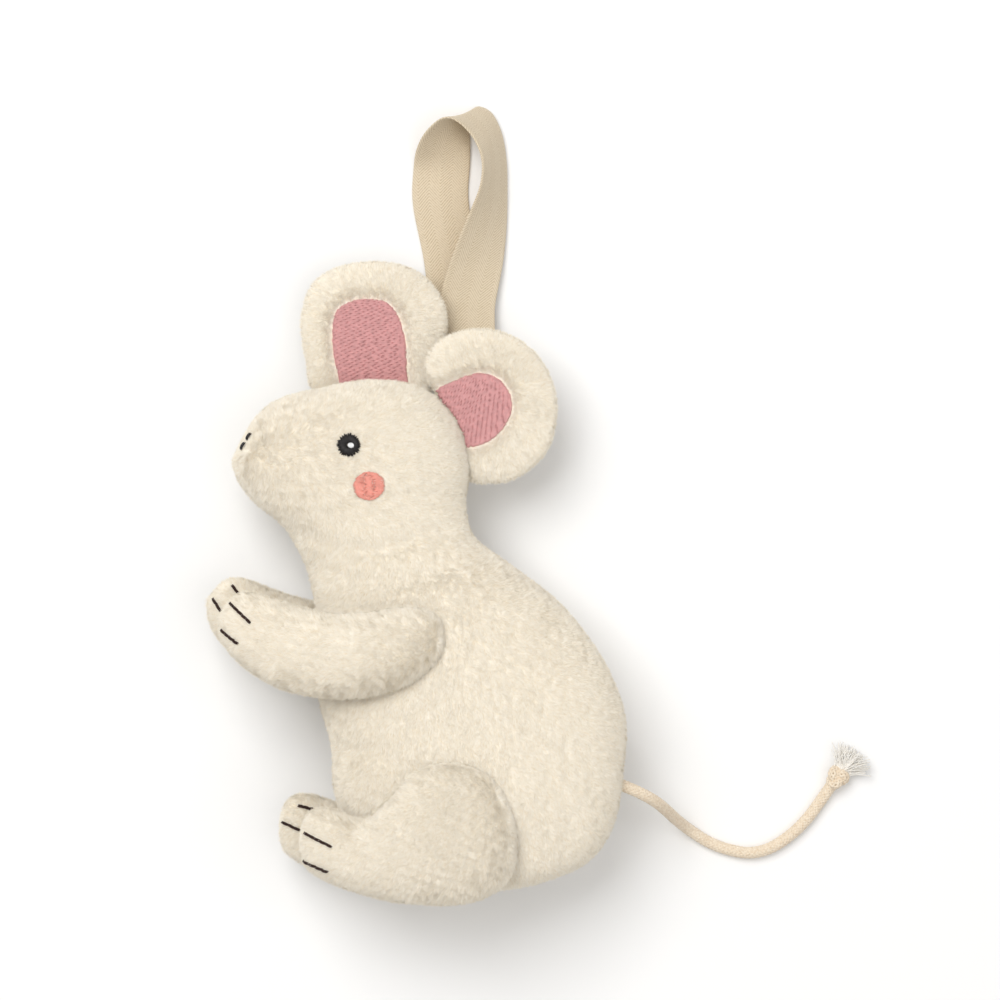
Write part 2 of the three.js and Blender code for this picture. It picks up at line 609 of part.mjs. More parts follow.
// A round bar lying across the movement (along its y) between two stations.
function bar(radius, from, to, x, z = AXLE_Z, sides = 14) {
  return new THREE.CylinderGeometry(radius, radius, to - from, sides).translate(x, (from + to) / 2, z);
}

// A toothed wheel on an axle across the movement, with a bore.
function wheel(radius, teeth, from, to, x, bore) {
  const shape = new THREE.Shape();
  for (let tooth = 0; tooth < teeth; tooth += 1) {
    [[0, 0.88], [0.3, 1], [0.6, 1]].forEach(([share, scale], corner) => {
      const angle = (2 * Math.PI * (tooth + share)) / teeth;
      const point = [radius * scale * Math.cos(angle), radius * scale * Math.sin(angle)];
      if (tooth === 0 && corner === 0) shape.moveTo(...point);
      else shape.lineTo(...point);
    });
  }
  shape.closePath();
  if (bore > 0) shape.holes.push(new THREE.Path().absarc(0, 0, bore, 0, 2 * Math.PI, true));
  const options = { depth: to - from, bevelEnabled: false, curveSegments: 8 };
  return new THREE.ExtrudeGeometry(shape, options).rotateX(Math.PI / 2).translate(x, to, AXLE_Z);
}

function makeCase() {
  const half = CASE.deep / 2;
  const inner = [CASE.long - 2 * CASE.wall, CASE.wide - 2 * CASE.wall];
  const shell = (from, to, floor, ceiling) => without(
    roundedBox(CASE.long, CASE.wide, from, to, CASE.corner),
    roundedBox(inner[0], inner[1], floor, ceiling, CASE.corner - CASE.wall),
  );
  const mouth = new THREE.CylinderGeometry(2.4, 2.4, 8, 12).rotateZ(Math.PI / 2)
    .translate(CASE.long / 2, DRAW_CORD.y, DRAW_CORD.z);
  const soundHoles = [];
  for (const x of [-12, -4]) {
    for (const y of [-6, 0, 6]) soundHoles.push(rod(1.2, half - 4, half + 2, [x, y], 8));
  }
  const screwPlaces = [[-14, -14], [17, 13]];
  const screwHoles = screwPlaces.map((at) => rod(1.1 + GAP, -half - 1, BEDPLATE.top + 1, at, 8));
  addNode('case_front', placed(without(shell(GAP / 2, half, -1, half - CASE.wall), mouth, ...soundHoles)),
    'case_plastic');
  addNode('case_back', placed(without(shell(-half, -GAP / 2, -half + CASE.wall, 1), ...screwHoles)),
    'case_plastic');
  const ring = new THREE.LatheGeometry([[1.4, -1.4], [2.1, -1.4], [2.1, 1.4], [1.4, 1.4], [1.4, -1.4]]
    .map(([r, y]) => new THREE.Vector2(r, y)), 16);
  ring.rotateZ(Math.PI / 2).translate(CASE.long / 2 - CASE.wall / 2, DRAW_CORD.y, DRAW_CORD.z);
  addNode('cord_eyelet', placed(ring), 'brass');
  screwPlaces.forEach((at, order) => {
    const head = rod(2.2, -half - 0.7 - GAP, -half - GAP, at, 10);
    const shank = rod(1.1, -half - 0.4 - GAP, BEDPLATE.top, at, 8);
    addNode(`case_screw_${order + 1}`, placed(joined(head, shank)), 'steel');
  });
  return screwHoles;
}

function makeBedplate(screwHoles) {
  const plate = roundedBox(BEDPLATE.long, BEDPLATE.wide, BEDPLATE.bottom, BEDPLATE.top, 4);
  const postHeight = 3 + AXLE_Z - BEDPLATE.bottom;
  const post = (left, right, from, to) => new THREE.BoxGeometry(right - left, to - from, postHeight)
    .translate((left + right) / 2, (from + to) / 2, (AXLE_Z + 3 + BEDPLATE.bottom) / 2);
  const block = new THREE.BoxGeometry(3.6, 23, 8.6).translate(-19.6, 0, -6);
  const posts = [post(-10, 7, -16.6, -15.2), post(-10, 12, 15.2, 16.6), post(1.5, 12, -6.2, -5.2)];
  const body = joined(plate, ...posts, block);
  const bores = [
    bar(AXLE_RADIUS + GAP, -18, 18, CYLINDER.x),
    bar(AXLE_RADIUS + GAP, -18, -4.5, IDLER.x),
    bar(AXLE_RADIUS + GAP, -7, 18, DRUM.x),
  ];
  addNode('bedplate', placed(without(body, ...bores, ...screwHoles)), 'brass');
}

function makeComb() {
  const half = 11.2;
  const pitch = (2 * half) / COMB.teeth;
  const shape = new THREE.Shape();
  shape.moveTo(COMB.back, -half);
  for (let tooth = 0; tooth < COMB.teeth; tooth += 1) {
    const from = -half + tooth * pitch + 0.2;
    const to = from + pitch - 0.4;
    shape.lineTo(COMB.root + (tooth / COMB.teeth), from);
    shape.lineTo(COMB.tip, from);
    shape.lineTo(COMB.tip, to);
    shape.lineTo(COMB.root + (tooth / COMB.teeth), to);
  }
  shape.lineTo(COMB.back, half);
  shape.closePath();
  const options = { depth: COMB.thickness, bevelEnabled: false };
  const plate = new THREE.ExtrudeGeometry(shape, options).translate(0, 0, AXLE_Z - COMB.thickness / 2);
  const places = [[-19.7, -7], [-19.7, 7]];
  const top = AXLE_Z + COMB.thickness / 2;
  const holes = places.map((at) => rod(0.8 + GAP, -5, 5, at, 8));
  addNode('comb', placed(without(plate, ...holes)), 'steel');
  places.forEach((at, order) => {
    const head = rod(1.4, top + GAP, top + GAP + 1, at, 10);
    const shank = rod(0.8, -1.4, top + GAP + 0.1, at, 8);
    addNode(`comb_screw_${order + 1}`, placed(joined(head, shank)), 'steel');
  });
}

function makeDrum() {
  const turned = joined(
    bar(AXLE_RADIUS, -6.9, 17.6, DRUM.x),
    bar(DRUM.flange, DRUM.from, DRUM.from + 0.8, DRUM.x),
    bar(DRUM.hub, DRUM.from + 0.4, DRUM.to - 0.4, DRUM.x),
    bar(DRUM.flange, DRUM.to - 0.8, DRUM.to, DRUM.x),
    wheel(3.6, 12, 14, 14.8, DRUM.x, 0),
  );
  addNode('cord_drum', placed(turned), 'nylon');
  const cup = without(bar(8.2, 4.2, 11.2, DRUM.x, AXLE_Z, 20), bar(7.5, 5, 12, DRUM.x, AXLE_Z, 20),
    bar(AXLE_RADIUS + GAP, 3, 6, DRUM.x));
  addNode('spring_barrel', placed(cup), 'steel');
  addNode('mainspring', placed(spiral()), 'steel');
  const start = [DRUM.x, DRAW_CORD.y, DRAW_CORD.z];
  const upright = new THREE.Vector3(0, 0, 1);
  const from = vector(start).applyAxisAngle(upright, radians(PULL_ANGLE)).add(vector(MOVEMENT_AT));
  from.z += GAP;
  const to = tailStart.clone().addScaledVector(pull, -GAP);
  const route = [0, 0.5, 1].map((share) => from.clone().lerp(to, share));
  addNode('draw_cord', tube(route, DRAW_CORD.radius - 0.1, 8, 8), 'cord');
}

function spiral() {
  const turns = 3.5;
  const steps = 36;
  const edge = (offset) => Array.from({ length: steps + 1 }, (_, i) => {
    const angle = (2 * Math.PI * turns * i) / steps;
    const radius = THREE.MathUtils.lerp(1.7, 6.8, i / steps) + offset;
    return new THREE.Vector2(radius * Math.cos(angle), radius * Math.sin(angle));
  });
  const shape = new THREE.Shape([...edge(-0.2), ...edge(0.2).reverse()]);
  const options = { depth: 5, bevelEnabled: false };
  return new THREE.ExtrudeGeometry(shape, options).rotateX(Math.PI / 2).translate(DRUM.x, 10.6, AXLE_Z);
}

function makeTrain() {
  const greatWheel = wheel(8.4, 28, 12, 12 + WHEEL_THICKNESS, DRUM.x, AXLE_RADIUS + GAP);
  addNode('great_wheel', placed(greatWheel), 'brass');
  const lever = new THREE.Shape([[-1, -0.8], [3.4, -0.5], [3.4, 0.3], [0.6, 1], [-1, 0.8]]
    .map(([x, y]) => new THREE.Vector2(x, y)));
  const click = new THREE.ExtrudeGeometry(lever, { depth: 0.8, bevelEnabled: false });
  addNode('click', placed(click.rotateX(Math.PI / 2).translate(DRUM.x - 3.2, 14.8, AXLE_Z + 5)), 'steel');
  addNode('cylinder_wheel', placed(wheel(7.3, 24, 12, 12 + WHEEL_THICKNESS, CYLINDER.x, AXLE_RADIUS + GAP)),
    'brass');
  addNode('train_wheel', placed(wheel(7.3, 24, -12 - WHEEL_THICKNESS, -12, CYLINDER.x, AXLE_RADIUS + GAP)),
    'brass');
  const pins = [];
  for (let row = 0; row < CYLINDER.rows; row += 1) {
    for (let place = 0; place < CYLINDER.pins; place += 1) {
      if ((row * 3 + place * 5) % 4 === 0) continue;
      const pin = new THREE.BoxGeometry(CYLINDER.radius + CYLINDER.pin, 0.5, 0.5);
      const round = (2 * Math.PI * (row + place / 9)) / CYLINDER.rows;
      pin.translate((CYLINDER.radius + CYLINDER.pin) / 2, 0, 0).rotateY(round);
      pins.push(pin.translate(CYLINDER.x, -9 + place * 2, AXLE_Z));
    }
  }
  addNode('pin_cylinder', placed(joined(bar(AXLE_RADIUS, -17.6, 17.6, CYLINDER.x, AXLE_Z, 12),
    bar(CYLINDER.radius, CYLINDER.from, CYLINDER.to, CYLINDER.x, AXLE_Z, 18), ...pins)), 'brass');
  addNode('idler_wheel', placed(joined(bar(AXLE_RADIUS, -17.6, -4.6, IDLER.x, AXLE_Z, 12),
    wheel(IDLER.pinion, 8, -12 - WHEEL_THICKNESS, -12, IDLER.x, 0),
    wheel(IDLER.wheel, 16, -9, -7.4, IDLER.x, 0))), 'brass');
}

function makeFly() {
  const at = [FLY.x, FLY.y];
  const threads = [-4, -1, 2].map((z) => rod(FLY.worm, z, z + 1.5, at, 10));
  addNode('fly_worm', placed(joined(rod(0.7, FLY.bottom, FLY.top, at, 10), ...threads)), 'steel');
  const fan = new THREE.BoxGeometry(2 * FLY.fan - 0.4, 1, 3.6).translate(FLY.x, FLY.y, 6.9);
  const collar = rod(1.6, 5, 8.8, at, 10);
  addNode('fly_fan', placed(without(joined(fan, collar), rod(0.7 + GAP, 4, 10, at, 10))), 'nylon');
  const frame = new THREE.Shape([[8.5, -9.2], [21, -9.2], [21, -8], [17.4, -8], [17.4, 10.8], [8.5, 10.8],
    [8.5, 9.6], [16, 9.6], [16, -8], [8.5, -8]].map(([x, z]) => new THREE.Vector2(x, z)));
  const bracket = new THREE.ExtrudeGeometry(frame, { depth: 3, bevelEnabled: false });
  addNode('governor_bracket', placed(bracket.rotateX(Math.PI / 2).translate(0, FLY.y + 1.5, 0)), 'brass');
}

// ---- assembly -------------------------------------------------------------------------------
const limbHoles = makeLimbs();
makeBody(limbHoles);
makeEar('ear_left', UPPER_EAR);
makeEar('ear_right', LOWER_EAR);
makeFace();
makeLoop();
makeTail();
makeBedplate(makeCase());
makeComb();
makeDrum();
makeTrain();
makeFly();
for (const mesh of group.children) mesh.geometry.translate(...CENTRING, SEAM_HEIGHT);

export default group;
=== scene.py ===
import json
import math

import bmesh
import bpy
import numpy as np
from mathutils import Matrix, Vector
from mathutils.bvhtree import BVHTree


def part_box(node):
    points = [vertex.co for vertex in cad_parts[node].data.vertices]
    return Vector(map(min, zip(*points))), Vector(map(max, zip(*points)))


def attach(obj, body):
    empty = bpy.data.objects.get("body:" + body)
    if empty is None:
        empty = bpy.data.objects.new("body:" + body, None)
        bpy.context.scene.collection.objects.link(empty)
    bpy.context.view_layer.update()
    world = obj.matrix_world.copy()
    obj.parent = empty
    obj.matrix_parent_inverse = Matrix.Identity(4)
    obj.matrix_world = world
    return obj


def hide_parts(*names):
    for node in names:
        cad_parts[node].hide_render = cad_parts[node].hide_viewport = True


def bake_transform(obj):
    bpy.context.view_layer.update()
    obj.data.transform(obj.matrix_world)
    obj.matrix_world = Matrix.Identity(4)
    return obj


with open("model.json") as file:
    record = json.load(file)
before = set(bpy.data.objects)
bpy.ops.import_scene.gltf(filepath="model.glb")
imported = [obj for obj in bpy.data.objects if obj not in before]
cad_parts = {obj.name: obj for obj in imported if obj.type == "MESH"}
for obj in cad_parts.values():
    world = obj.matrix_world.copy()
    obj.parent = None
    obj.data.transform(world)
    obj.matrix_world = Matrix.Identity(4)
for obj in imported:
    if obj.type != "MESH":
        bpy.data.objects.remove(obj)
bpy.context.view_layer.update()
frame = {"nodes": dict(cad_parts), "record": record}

# Camera: straight above the mouse as it lies on its side, far enough away that nothing is foreshortened.
# The view is a third of a metre wide, with the tail's end near its right edge.
VIEW_MIDDLE = (0.0283, -0.0007)
VIEW_WIDTH = 0.3333
CAMERA_DISTANCE = 1.6
SEAM_HEIGHT = 0.034
camera_lens = bpy.data.cameras.new("camera")
camera_lens.lens = 36 * CAMERA_DISTANCE / VIEW_WIDTH
camera = bpy.data.objects.new("camera", camera_lens)
camera.location = (*VIEW_MIDDLE, SEAM_HEIGHT + CAMERA_DISTANCE)
bpy.context.scene.collection.objects.link(camera)
bpy.context.scene.camera = camera


# Tail: a round cotton braid of sixteen yarns. It leaves the back seam straight, drops to the
# surface and lies in one easy curve, and it ends in an overhand knot with its yarns frayed out.
TAIL_DIAMETER = 0.0038
TAIL_EXIT = (68, -95, 0)
PULL_ANGLE = math.radians(-20)
TAIL_ROUTE = [
    (75, -98, -1.2), (80.5, -101.3, -6), (84.5, -104.8, -14), (88, -108.3, -22.5), (92.6, -112.2, -29.5),
    (99, -116.4, -31.6), (105.5, -119, -31.8), (113.3, -120.3, -31.8), (120.5, -118.6, -31.8),
    (127.3, -114.2, -31.8), (133, -108.6, -31.8), (137.6, -102.4, -31.8), (140.2, -98.6, -31.2),
]
KNOT_AT = (143, -94.6, -30)
YARNS_EACH_WAY = 8
BRAID_PITCH = 11.0
DRAWING_ORIGIN = np.array([-0.2, -0.3, 34.0])
KNOT_OUT, KNOT_SIDE = np.array([0.6, 0.8, 0.0]), np.array([0.8, -0.6, 0.0])
FRAYED_YARNS = 430
CLEAR_OF_TABLE = -33.4


def from_drawing(points):
    """Points of the drawing, in millimetres about the body's seam, to metres in the frame."""
    return (np.asarray(points, dtype=float) + DRAWING_ORIGIN) / 1000


def smooth_between(points, share):
    """Places on a smooth curve through the points: share 0 is at the first, 1 at the second, and so on."""
    padded = np.vstack([2 * points[0] - points[1], points, 2 * points[-1] - points[-2]])
    index = np.minimum(share.astype(int), len(points) - 2)
    t = (share - index)[:, None]
    a, b, c, d = (padded[index + k] for k in range(4))
    return 0.5 * (2 * b + (c - a) * t + (2 * a - 5 * b + 4 * c - d) * t**2 + (3 * b - a - 3 * c + d) * t**3)


def length_along(path):
    """Distance gone from the start of a path to each of its points."""
    return np.concatenate([[0], np.cumsum(np.linalg.norm(np.diff(path, axis=0), axis=1))])


def curve_through(points, count):
    """Even steps along a smooth curve through the points."""
    points = np.asarray(points, dtype=float)
    fine = smooth_between(points, np.linspace(0, len(points) - 1, 24 * len(points)))
    gone = length_along(fine)
    steps = np.linspace(0, gone[-1], count)
    return np.stack([np.interp(steps, gone, fine[:, k]) for k in range(points.shape[1])], axis=1)


def unit(vectors):
    return vectors / np.maximum(np.linalg.norm(vectors, axis=-1, keepdims=True), 1e-12)


def carried_frames(path):
    """Directions beside and above a path, turning no more than the path does."""
    along = unit(np.gradient(path, axis=0))
    beside = np.zeros_like(along)
    start = np.cross(along[0], [0, 0, 1.0])
    beside[0] = unit(start if np.linalg.norm(start) > 0.1 else np.cross(along[0], [0, 1.0, 0]))
    for i in range(1, len(path)):
        beside[i] = unit(beside[i - 1] - along[i] * np.dot(beside[i - 1], along[i]))
    return beside, np.cross(along, beside)


def add_piece(name, points, faces, material=None, smooth=True):
    """A mesh object of points in metres."""
    mesh = bpy.data.meshes.new(name)
    mesh.from_pydata([tuple(p) for p in points], [], [tuple(f) for f in faces])
    mesh.update()
    if smooth:
        mesh.shade_smooth()
    piece = bpy.data.objects.new(name, mesh)
    bpy.context.scene.collection.objects.link(piece)
    if material:
        mesh.materials.append(material)
    return piece


def yarn_tubes(paths, radius, sides=6, taper=False):
    """Round yarns along many paths of equal length: points and faces of all their tubes."""
    paths = np.asarray(paths, dtype=float)
    count, steps, _ = paths.shape
    along = unit(np.gradient(paths, axis=1))
    guide = np.where(np.abs(along[..., 2:3]) < 0.9, [[[0, 0, 1.0]]], [[[1.0, 0, 0]]])
    beside = unit(np.cross(along, guide))
    above = np.cross(beside, along)
    angle = np.linspace(0, 2 * np.pi, sides, endpoint=False)
    radius = np.broadcast_to(np.asarray(radius, dtype=float), (count,))[:, None, None, None]
    size = np.ones(steps)
    if taper:
        size = np.sqrt(np.clip(1 - np.linspace(-1, 1, steps) ** 4, 0.06, 1))
    ring = (np.cos(angle)[None, None, :, None] * beside[:, :, None, :]
            + np.sin(angle)[None, None, :, None] * above[:, :, None, :])
    points = paths[:, :, None, :] + ring * radius * size[None, :, None, None]
    base = np.arange(count)[:, None, None] * steps * sides
    step = np.arange(steps - 1)[None, :, None] * sides
    side = np.arange(sides)[None, None, :]
    after = (side + 1) % sides
    quads = np.stack(np.broadcast_arrays(base + step + side, base + step + after,
                                         base + step + sides + after, base + step + sides + side), axis=-1)
    faces = [tuple(q) for q in quads.reshape(-1, 4)]
    for k in range(count):
        first = k * steps * sides
        faces.append(tuple(first + s for s in reversed(range(sides))))
        faces.append(tuple(first + (steps - 1) * sides + s for s in range(sides)))
    return points.reshape(-1, 3), faces


def braid_paths(path, radius, yarns=YARNS_EACH_WAY, pitch=BRAID_PITCH):
    """Yarn paths of a round braid: half wind one way, half the other, over and under in turn."""
    beside, above = carried_frames(path)
    gone = length_along(path)
    paths = []
    for way in (1, -1):
        for k in range(yarns):
            turn = way * 2 * np.pi * gone / pitch + 2 * np.pi * (k + 0.25 * way) / yarns
            weave = np.cos(yarns * 0.5 * (turn * way * 2)) * way
            reach = radius * (0.79 + 0.07 * weave)
            around = np.cos(turn)[:, None] * beside + np.sin(turn)[:, None] * above
            paths.append(path + reach[:, None] * around)
    return paths


def new_finish(name, settings):
    """A node material with plain settings on its shader."""
    material = bpy.data.materials.new(name)
    material.use_nodes = True
    shader = material.node_tree.nodes["Principled BSDF"]
    for socket, value in settings.items():
        shader.inputs[socket].default_value = value
    return material


def grain_in(material, scale, detail=2, distortion=0):
    """A random grain fixed in the piece; scale is its patches to the metre."""
    nodes, links = material.node_tree.nodes, material.node_tree.links
    grain = nodes.new("ShaderNodeTexNoise")
    grain.inputs["Scale"].default_value = scale
    grain.inputs["Detail"].default_value = detail
    grain.inputs["Distortion"].default_value = distortion
    links.new(nodes.new("ShaderNodeTexCoord").outputs["Object"], grain.inputs["Vector"])
    return grain.outputs["Fac"]


def colour_by(material, pattern, dark, light, low=0.0, high=1.0):
    """Colours the finish from dark to light as a pattern rises from low to high."""
    nodes, links = material.node_tree.nodes, material.node_tree.links
    tone = nodes.new("ShaderNodeValToRGB")
    for stop, position, colour in zip(tone.color_ramp.elements, (low, high), (dark, light)):
        stop.position = position
        stop.color = (*colour, 1)
    links.new(pattern, tone.inputs["Fac"])
    links.new(tone.outputs["Color"], nodes["Principled BSDF"].inputs["Base Color"])


def roughen_by(material, pattern, least, most):
    """Varies the roughness of the finish with a pattern."""
    nodes, links = material.node_tree.nodes, material.node_tree.links
    rough = nodes.new("ShaderNodeMapRange")
    rough.inputs["To Min"].default_value = least
    rough.inputs["To Max"].default_value = most
    links.new(pattern, rough.inputs["Value"])
    links.new(rough.outputs["Result"], nodes["Principled BSDF"].inputs["Roughness"])


def raise_by(material, pattern, strength, height):
    """Raises the surface of the finish with a pattern; height is in metres."""
    nodes, links = material.node_tree.nodes, material.node_tree.links
    bump = nodes.new("ShaderNodeBump")
    bump.inputs["Strength"].default_value = strength
    bump.inputs["Distance"].default_value = height
    links.new(pattern, bump.inputs["Height"])
    links.new(bump.outputs["Normal"], nodes["Principled BSDF"].inputs["Normal"])


def cotton(name, light, dark, thread_scale):
    """Unbleached cotton yarn: slight slubs and specks of seed husk."""
    material = new_finish(name, {"Roughness": 0.92, "Sheen Weight": 0.25, "Specular IOR Level": 0.2})
    colour_by(material, grain_in(material, thread_scale, detail=5), dark, light, 0.32, 0.6)
    raise_by(material, grain_in(material, thread_scale * 6), 0.5, 0.0001)
    return material


braid_cotton = cotton("braid_cotton", (0.88, 0.77, 0.62), (0.76, 0.62, 0.46), 1300)
fray_cotton = cotton("fray_cotton", (0.97, 0.95, 0.91), (0.93, 0.88, 0.80), 1300)
pull = np.array([math.cos(PULL_ANGLE), math.sin(PULL_ANGLE), 0])
tail_start = np.array(TAIL_EXIT) - 5 * pull
tail_path = curve_through([tail_start, TAIL_EXIT, *TAIL_ROUTE, KNOT_AT], 230)
tail_points, tail_faces = yarn_tubes(braid_paths(tail_path, TAIL_DIAMETER * 500), 0.47, 6)
tail = add_piece("tail_braid", from_drawing(tail_points), tail_faces, braid_cotton)

knot_turn = np.linspace(0, 2 * np.pi, 150)
knot_curve = np.stack([np.sin(knot_turn) + 2 * np.sin(2 * knot_turn),
                       1.15 * (np.cos(knot_turn) - 2 * np.cos(2 * knot_turn)),
                       -1.1 * np.sin(3 * knot_turn)], axis=1) * 0.82
knot_path = knot_curve @ np.array([KNOT_SIDE, KNOT_OUT, [0, 0, 1]]) + np.array(KNOT_AT)
knot_points, knot_faces = yarn_tubes(braid_paths(knot_path, 1.55, 6, 8.0), 0.45, 6)
knot = add_piece("tail_knot_tied", from_drawing(knot_points), knot_faces, braid_cotton)

rng = np.random.default_rng(7)
fray_lines = []
for _ in range(FRAYED_YARNS):
    spread, lift = rng.normal(0, 0.36), rng.normal(0.05, 0.2)
    length = rng.uniform(5.5, 9.5) * (1 - 0.25 * abs(spread))
    root = np.array(KNOT_AT) + KNOT_OUT * rng.uniform(1.5, 3.0) + KNOT_SIDE * rng.normal(0, 1.1)
    share = np.linspace(0, 1, 9)[:, None]
    heading = KNOT_OUT + spread * KNOT_SIDE + np.array([0, 0, lift])
    curl = KNOT_SIDE * rng.normal(0, 0.22) + np.array([0, 0, rng.normal(0, 0.08)])
    wave = np.sin(share * rng.uniform(5, 10) + rng.uniform(0, 6)) * rng.uniform(0.05, 0.3)
    line = root + unit(heading) * share * length + curl * share**2 * length + wave * KNOT_SIDE * share
    line[:, 2] = np.maximum(line[:, 2], CLEAR_OF_TABLE)
    fray_lines.append(line)
fray_points, fray_faces = yarn_tubes(fray_lines, 0.15, 4)
fray = add_piece("tail_frayed_yarns", from_drawing(fray_points), fray_faces, fray_cotton)

for piece, node in ((tail, "tail_cord"), (knot, "tail_knot"), (fray, "tail_fray")):
    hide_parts(node)
    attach(piece, "tail")

# Draw cord: the thin twisted line that runs from the tail's inner end to the drum of the movement.
# Pulling the tail draws it out through the seam, so it lengthens between the belly and the tail.
draw_low, draw_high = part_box("draw_cord")
draw_inner = np.array([draw_low[0], draw_high[1], (draw_low[2] + draw_high[2]) / 2])
draw_outer = from_drawing(tail_start)
draw_inner[2] = draw_outer[2]
draw_path = np.linspace(draw_inner, draw_outer + pull * 0.002, 160) * 1000
draw_points, draw_faces = yarn_tubes(braid_paths(draw_path, 0.8, 2, 3.0), 0.36, 5)
draw_line = add_piece("draw_line", draw_points / 1000, draw_faces, braid_cotton)
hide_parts("draw_cord")
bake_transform(draw_line)


# Body: two side panels of cream pile cloth, sewn edge to edge in one seam from nose to seat and
# stuffed. Rows run from the seat to the nose: front edge, back edge, half thickness, seam height.
BODY = [
    (28.3, -130, 28.3, -130, 0, 0), (13.3, -128.7, 43.3, -126.7, 12, 0),
    (-5, -123.3, 58.3, -119.7, 19, 0), (-20, -112.3, 66.3, -107.3, 23, 0),
    (-26.3, -97.3, 69.3, -89, 25, 0), (-27.3, -82.3, 70, -74, 25, 0), (-31.3, -67.3, 66, -60.7, 25, 0),
    (-33.3, -52.3, 58.3, -47.3, 24, 0), (-32.7, -38, 47, -34, 22, -1),
    (-35.3, -24, 31.7, -22.3, 20, -3), (-41, -12.3, 19.7, -13, 19.5, -4.5),
    (-45.3, -7.3, 16.7, -1.7, 21, -5.5), (-49, -4.3, 17.7, 11.7, 23.5, -6.5),
    (-52.3, -1.7, 13, 26.3, 24.5, -7.2), (-55, 1, 2.3, 36.7, 24, -7.2),
    (-57.3, 4, -14.3, 39.3, 22, -7.2), (-59, 7, -31, 36.7, 18.5, -7.2), (-60, 9.7, -45, 33, 13, -7.2),
    (-60.7, 12, -53, 26.7, 7.5, -7.2), (-58.3, 17, -58.3, 17, 0, -7.2),
]
BULGE = 2.3
FLOOR = -33.6
SEAM_WIDTH, SEAM_TUCK = 2.2, 1.4
CLOTH_THICKNESS = 1.6
# Creases where the cloth gives: points along each, depth and width.
BODY_CREASES = [
    ([(-34, -22), (-20, -27), (0, -27), (18, -20), (26, -17)], 2.3, 3.6),
    ([(-40, -10), (-28, -16), (-12, -17), (4, -12), (18, -6)], 1.8, 3.2),
    ([(-30, -33), (-14, -35), (6, -36), (22, -34)], 1.5, 3.2),
    ([(-27, -84), (-18, -83), (-6, -86), (2, -92)], 1.9, 3.6),
    ([(40, -92), (50, -103), (52, -116)], 0.8, 5.0),
]


def rows_through(rows, count):
    """Smoothly interpolated rows, closer together towards both ends."""
    rows = np.asarray(rows, dtype=float)
    even = np.linspace(0, 1, count)
    share = (0.55 * even + 0.45 * (0.5 - 0.5 * np.cos(np.pi * even))) * (len(rows) - 1)
    return smooth_between(rows, share)


def stuffed_rings(rows, count, around, start=0.0, stop=2 * np.pi, closed=True):
    """Rings of points round a stuffed shape; angle 0 is its front seam and half a turn its back seam."""
    table = rows_through(rows, count)[1:-1]
    angle = np.linspace(start, stop, around, endpoint=not closed)
    across = np.sign(np.cos(angle)) * np.abs(np.cos(angle)) ** (2 / BULGE)
    rise = np.sign(np.sin(angle)) * np.abs(np.sin(angle)) ** (2 / BULGE)
    middle = (table[:, 0:2] + table[:, 2:4]) / 2
    reach = (table[:, 0:2] - table[:, 2:4]) / 2
    plan = middle[:, None, :] + reach[:, None, :] * across[None, :, None]
    height = table[:, 5:6] + np.maximum(table[:, 4:5], 0) * rise[None, :]
    return np.dstack([plan, height])


def distance_to_line(x, y, line):
    """Distance in plan from each point to a bent line, and how far along it the nearest place is."""
    line = np.asarray(line, dtype=float)
    best = np.full(x.shape, 1e9)
    where = np.zeros(x.shape)
    for k in range(len(line) - 1):
        a, b = line[k], line[k + 1]
        span = b - a
        t = np.clip(((x - a[0]) * span[0] + (y - a[1]) * span[1]) / span.dot(span), 0, 1)
        gap = np.hypot(x - a[0] - t * span[0], y - a[1] - t * span[1])
        where = np.where(gap < best, (k + t) / (len(line) - 1), where)
        best = np.minimum(best, gap)
    return best, where


def ring_faces(rings, around, closed=True):
    """Quads over a grid of rings."""
    steps = around if closed else around - 1
    faces = []
    for i in range(rings - 1):
        for j in range(steps):
            k = (j + 1) % around
            faces.append((i * around + j, i * around + k, (i + 1) * around + k, (i + 1) * around + j))
    return faces


def soft_lumps(points, size, amount, seed):
    """Small unevenness of stuffing: a sum of slow waves."""
    wave = np.random.default_rng(seed)
    total = np.zeros(points.shape[:-1])
    for _ in range(14):
        heading = unit(wave.normal(size=3))
        turns = points @ heading * 2 * np.pi / (size * wave.uniform(0.7, 1.6))
        total += np.sin(turns + wave.uniform(0, 6.3))
    return total / 14**0.5 * amount


def plush_cloth(name):
    """Backing of the pile cloth seen between the fibres: warm cream knit with darker specks, its tone set a
    little darker than the pile as painted shade between the fibres.
    """
    material = new_finish(name, {"Roughness": 0.95, "Sheen Weight": 0.35, "Specular IOR Level": 0.1})
    knit = grain_in(material, 260, detail=6, distortion=0.6)
    # Painted shade: the backing's cream is a little darker than the pile, standing for the shade between
    # the fibres; the specks are the knit's own grain.
    colour_by(material, knit, (0.90, 0.81, 0.65), (0.95, 0.89, 0.77), 0.35, 0.65)
    raise_by(material, knit, 0.7, 0.0006)
    return material


def plush_fibre(name, colour):
    """Polyester pile fibre: matt with a soft sheen."""
    material = new_finish(name, {"Base Color": (*colour, 1), "Sheen Weight": 0.2,
                                 "Specular IOR Level": 0.15})
    roughen_by(material, grain_in(material, 400), 0.75, 1.0)
    return material


# Pile: its length and half width in millimetres, how far it stands off the cloth in degrees, how
# much of that comes in tufts, how hard it hangs down a steep side, and the share of each tone.
PILE_LENGTH, FIBRE_HALF_WIDTH = 1.9, 0.115
FIBRE_STAND, TUFT_STAND = (9, 41), 6
NAP_DROOP = 1.8
TONE_SHARES = [0.4, 0.42, 0.18]
pile_backing = plush_cloth("pile_backing")
pile_tones = [plush_fibre("pile_pale", (0.97, 0.92, 0.82)), plush_fibre("pile_cream", (0.95, 0.89, 0.77)),
              plush_fibre("pile_warm", (0.90, 0.81, 0.66))]


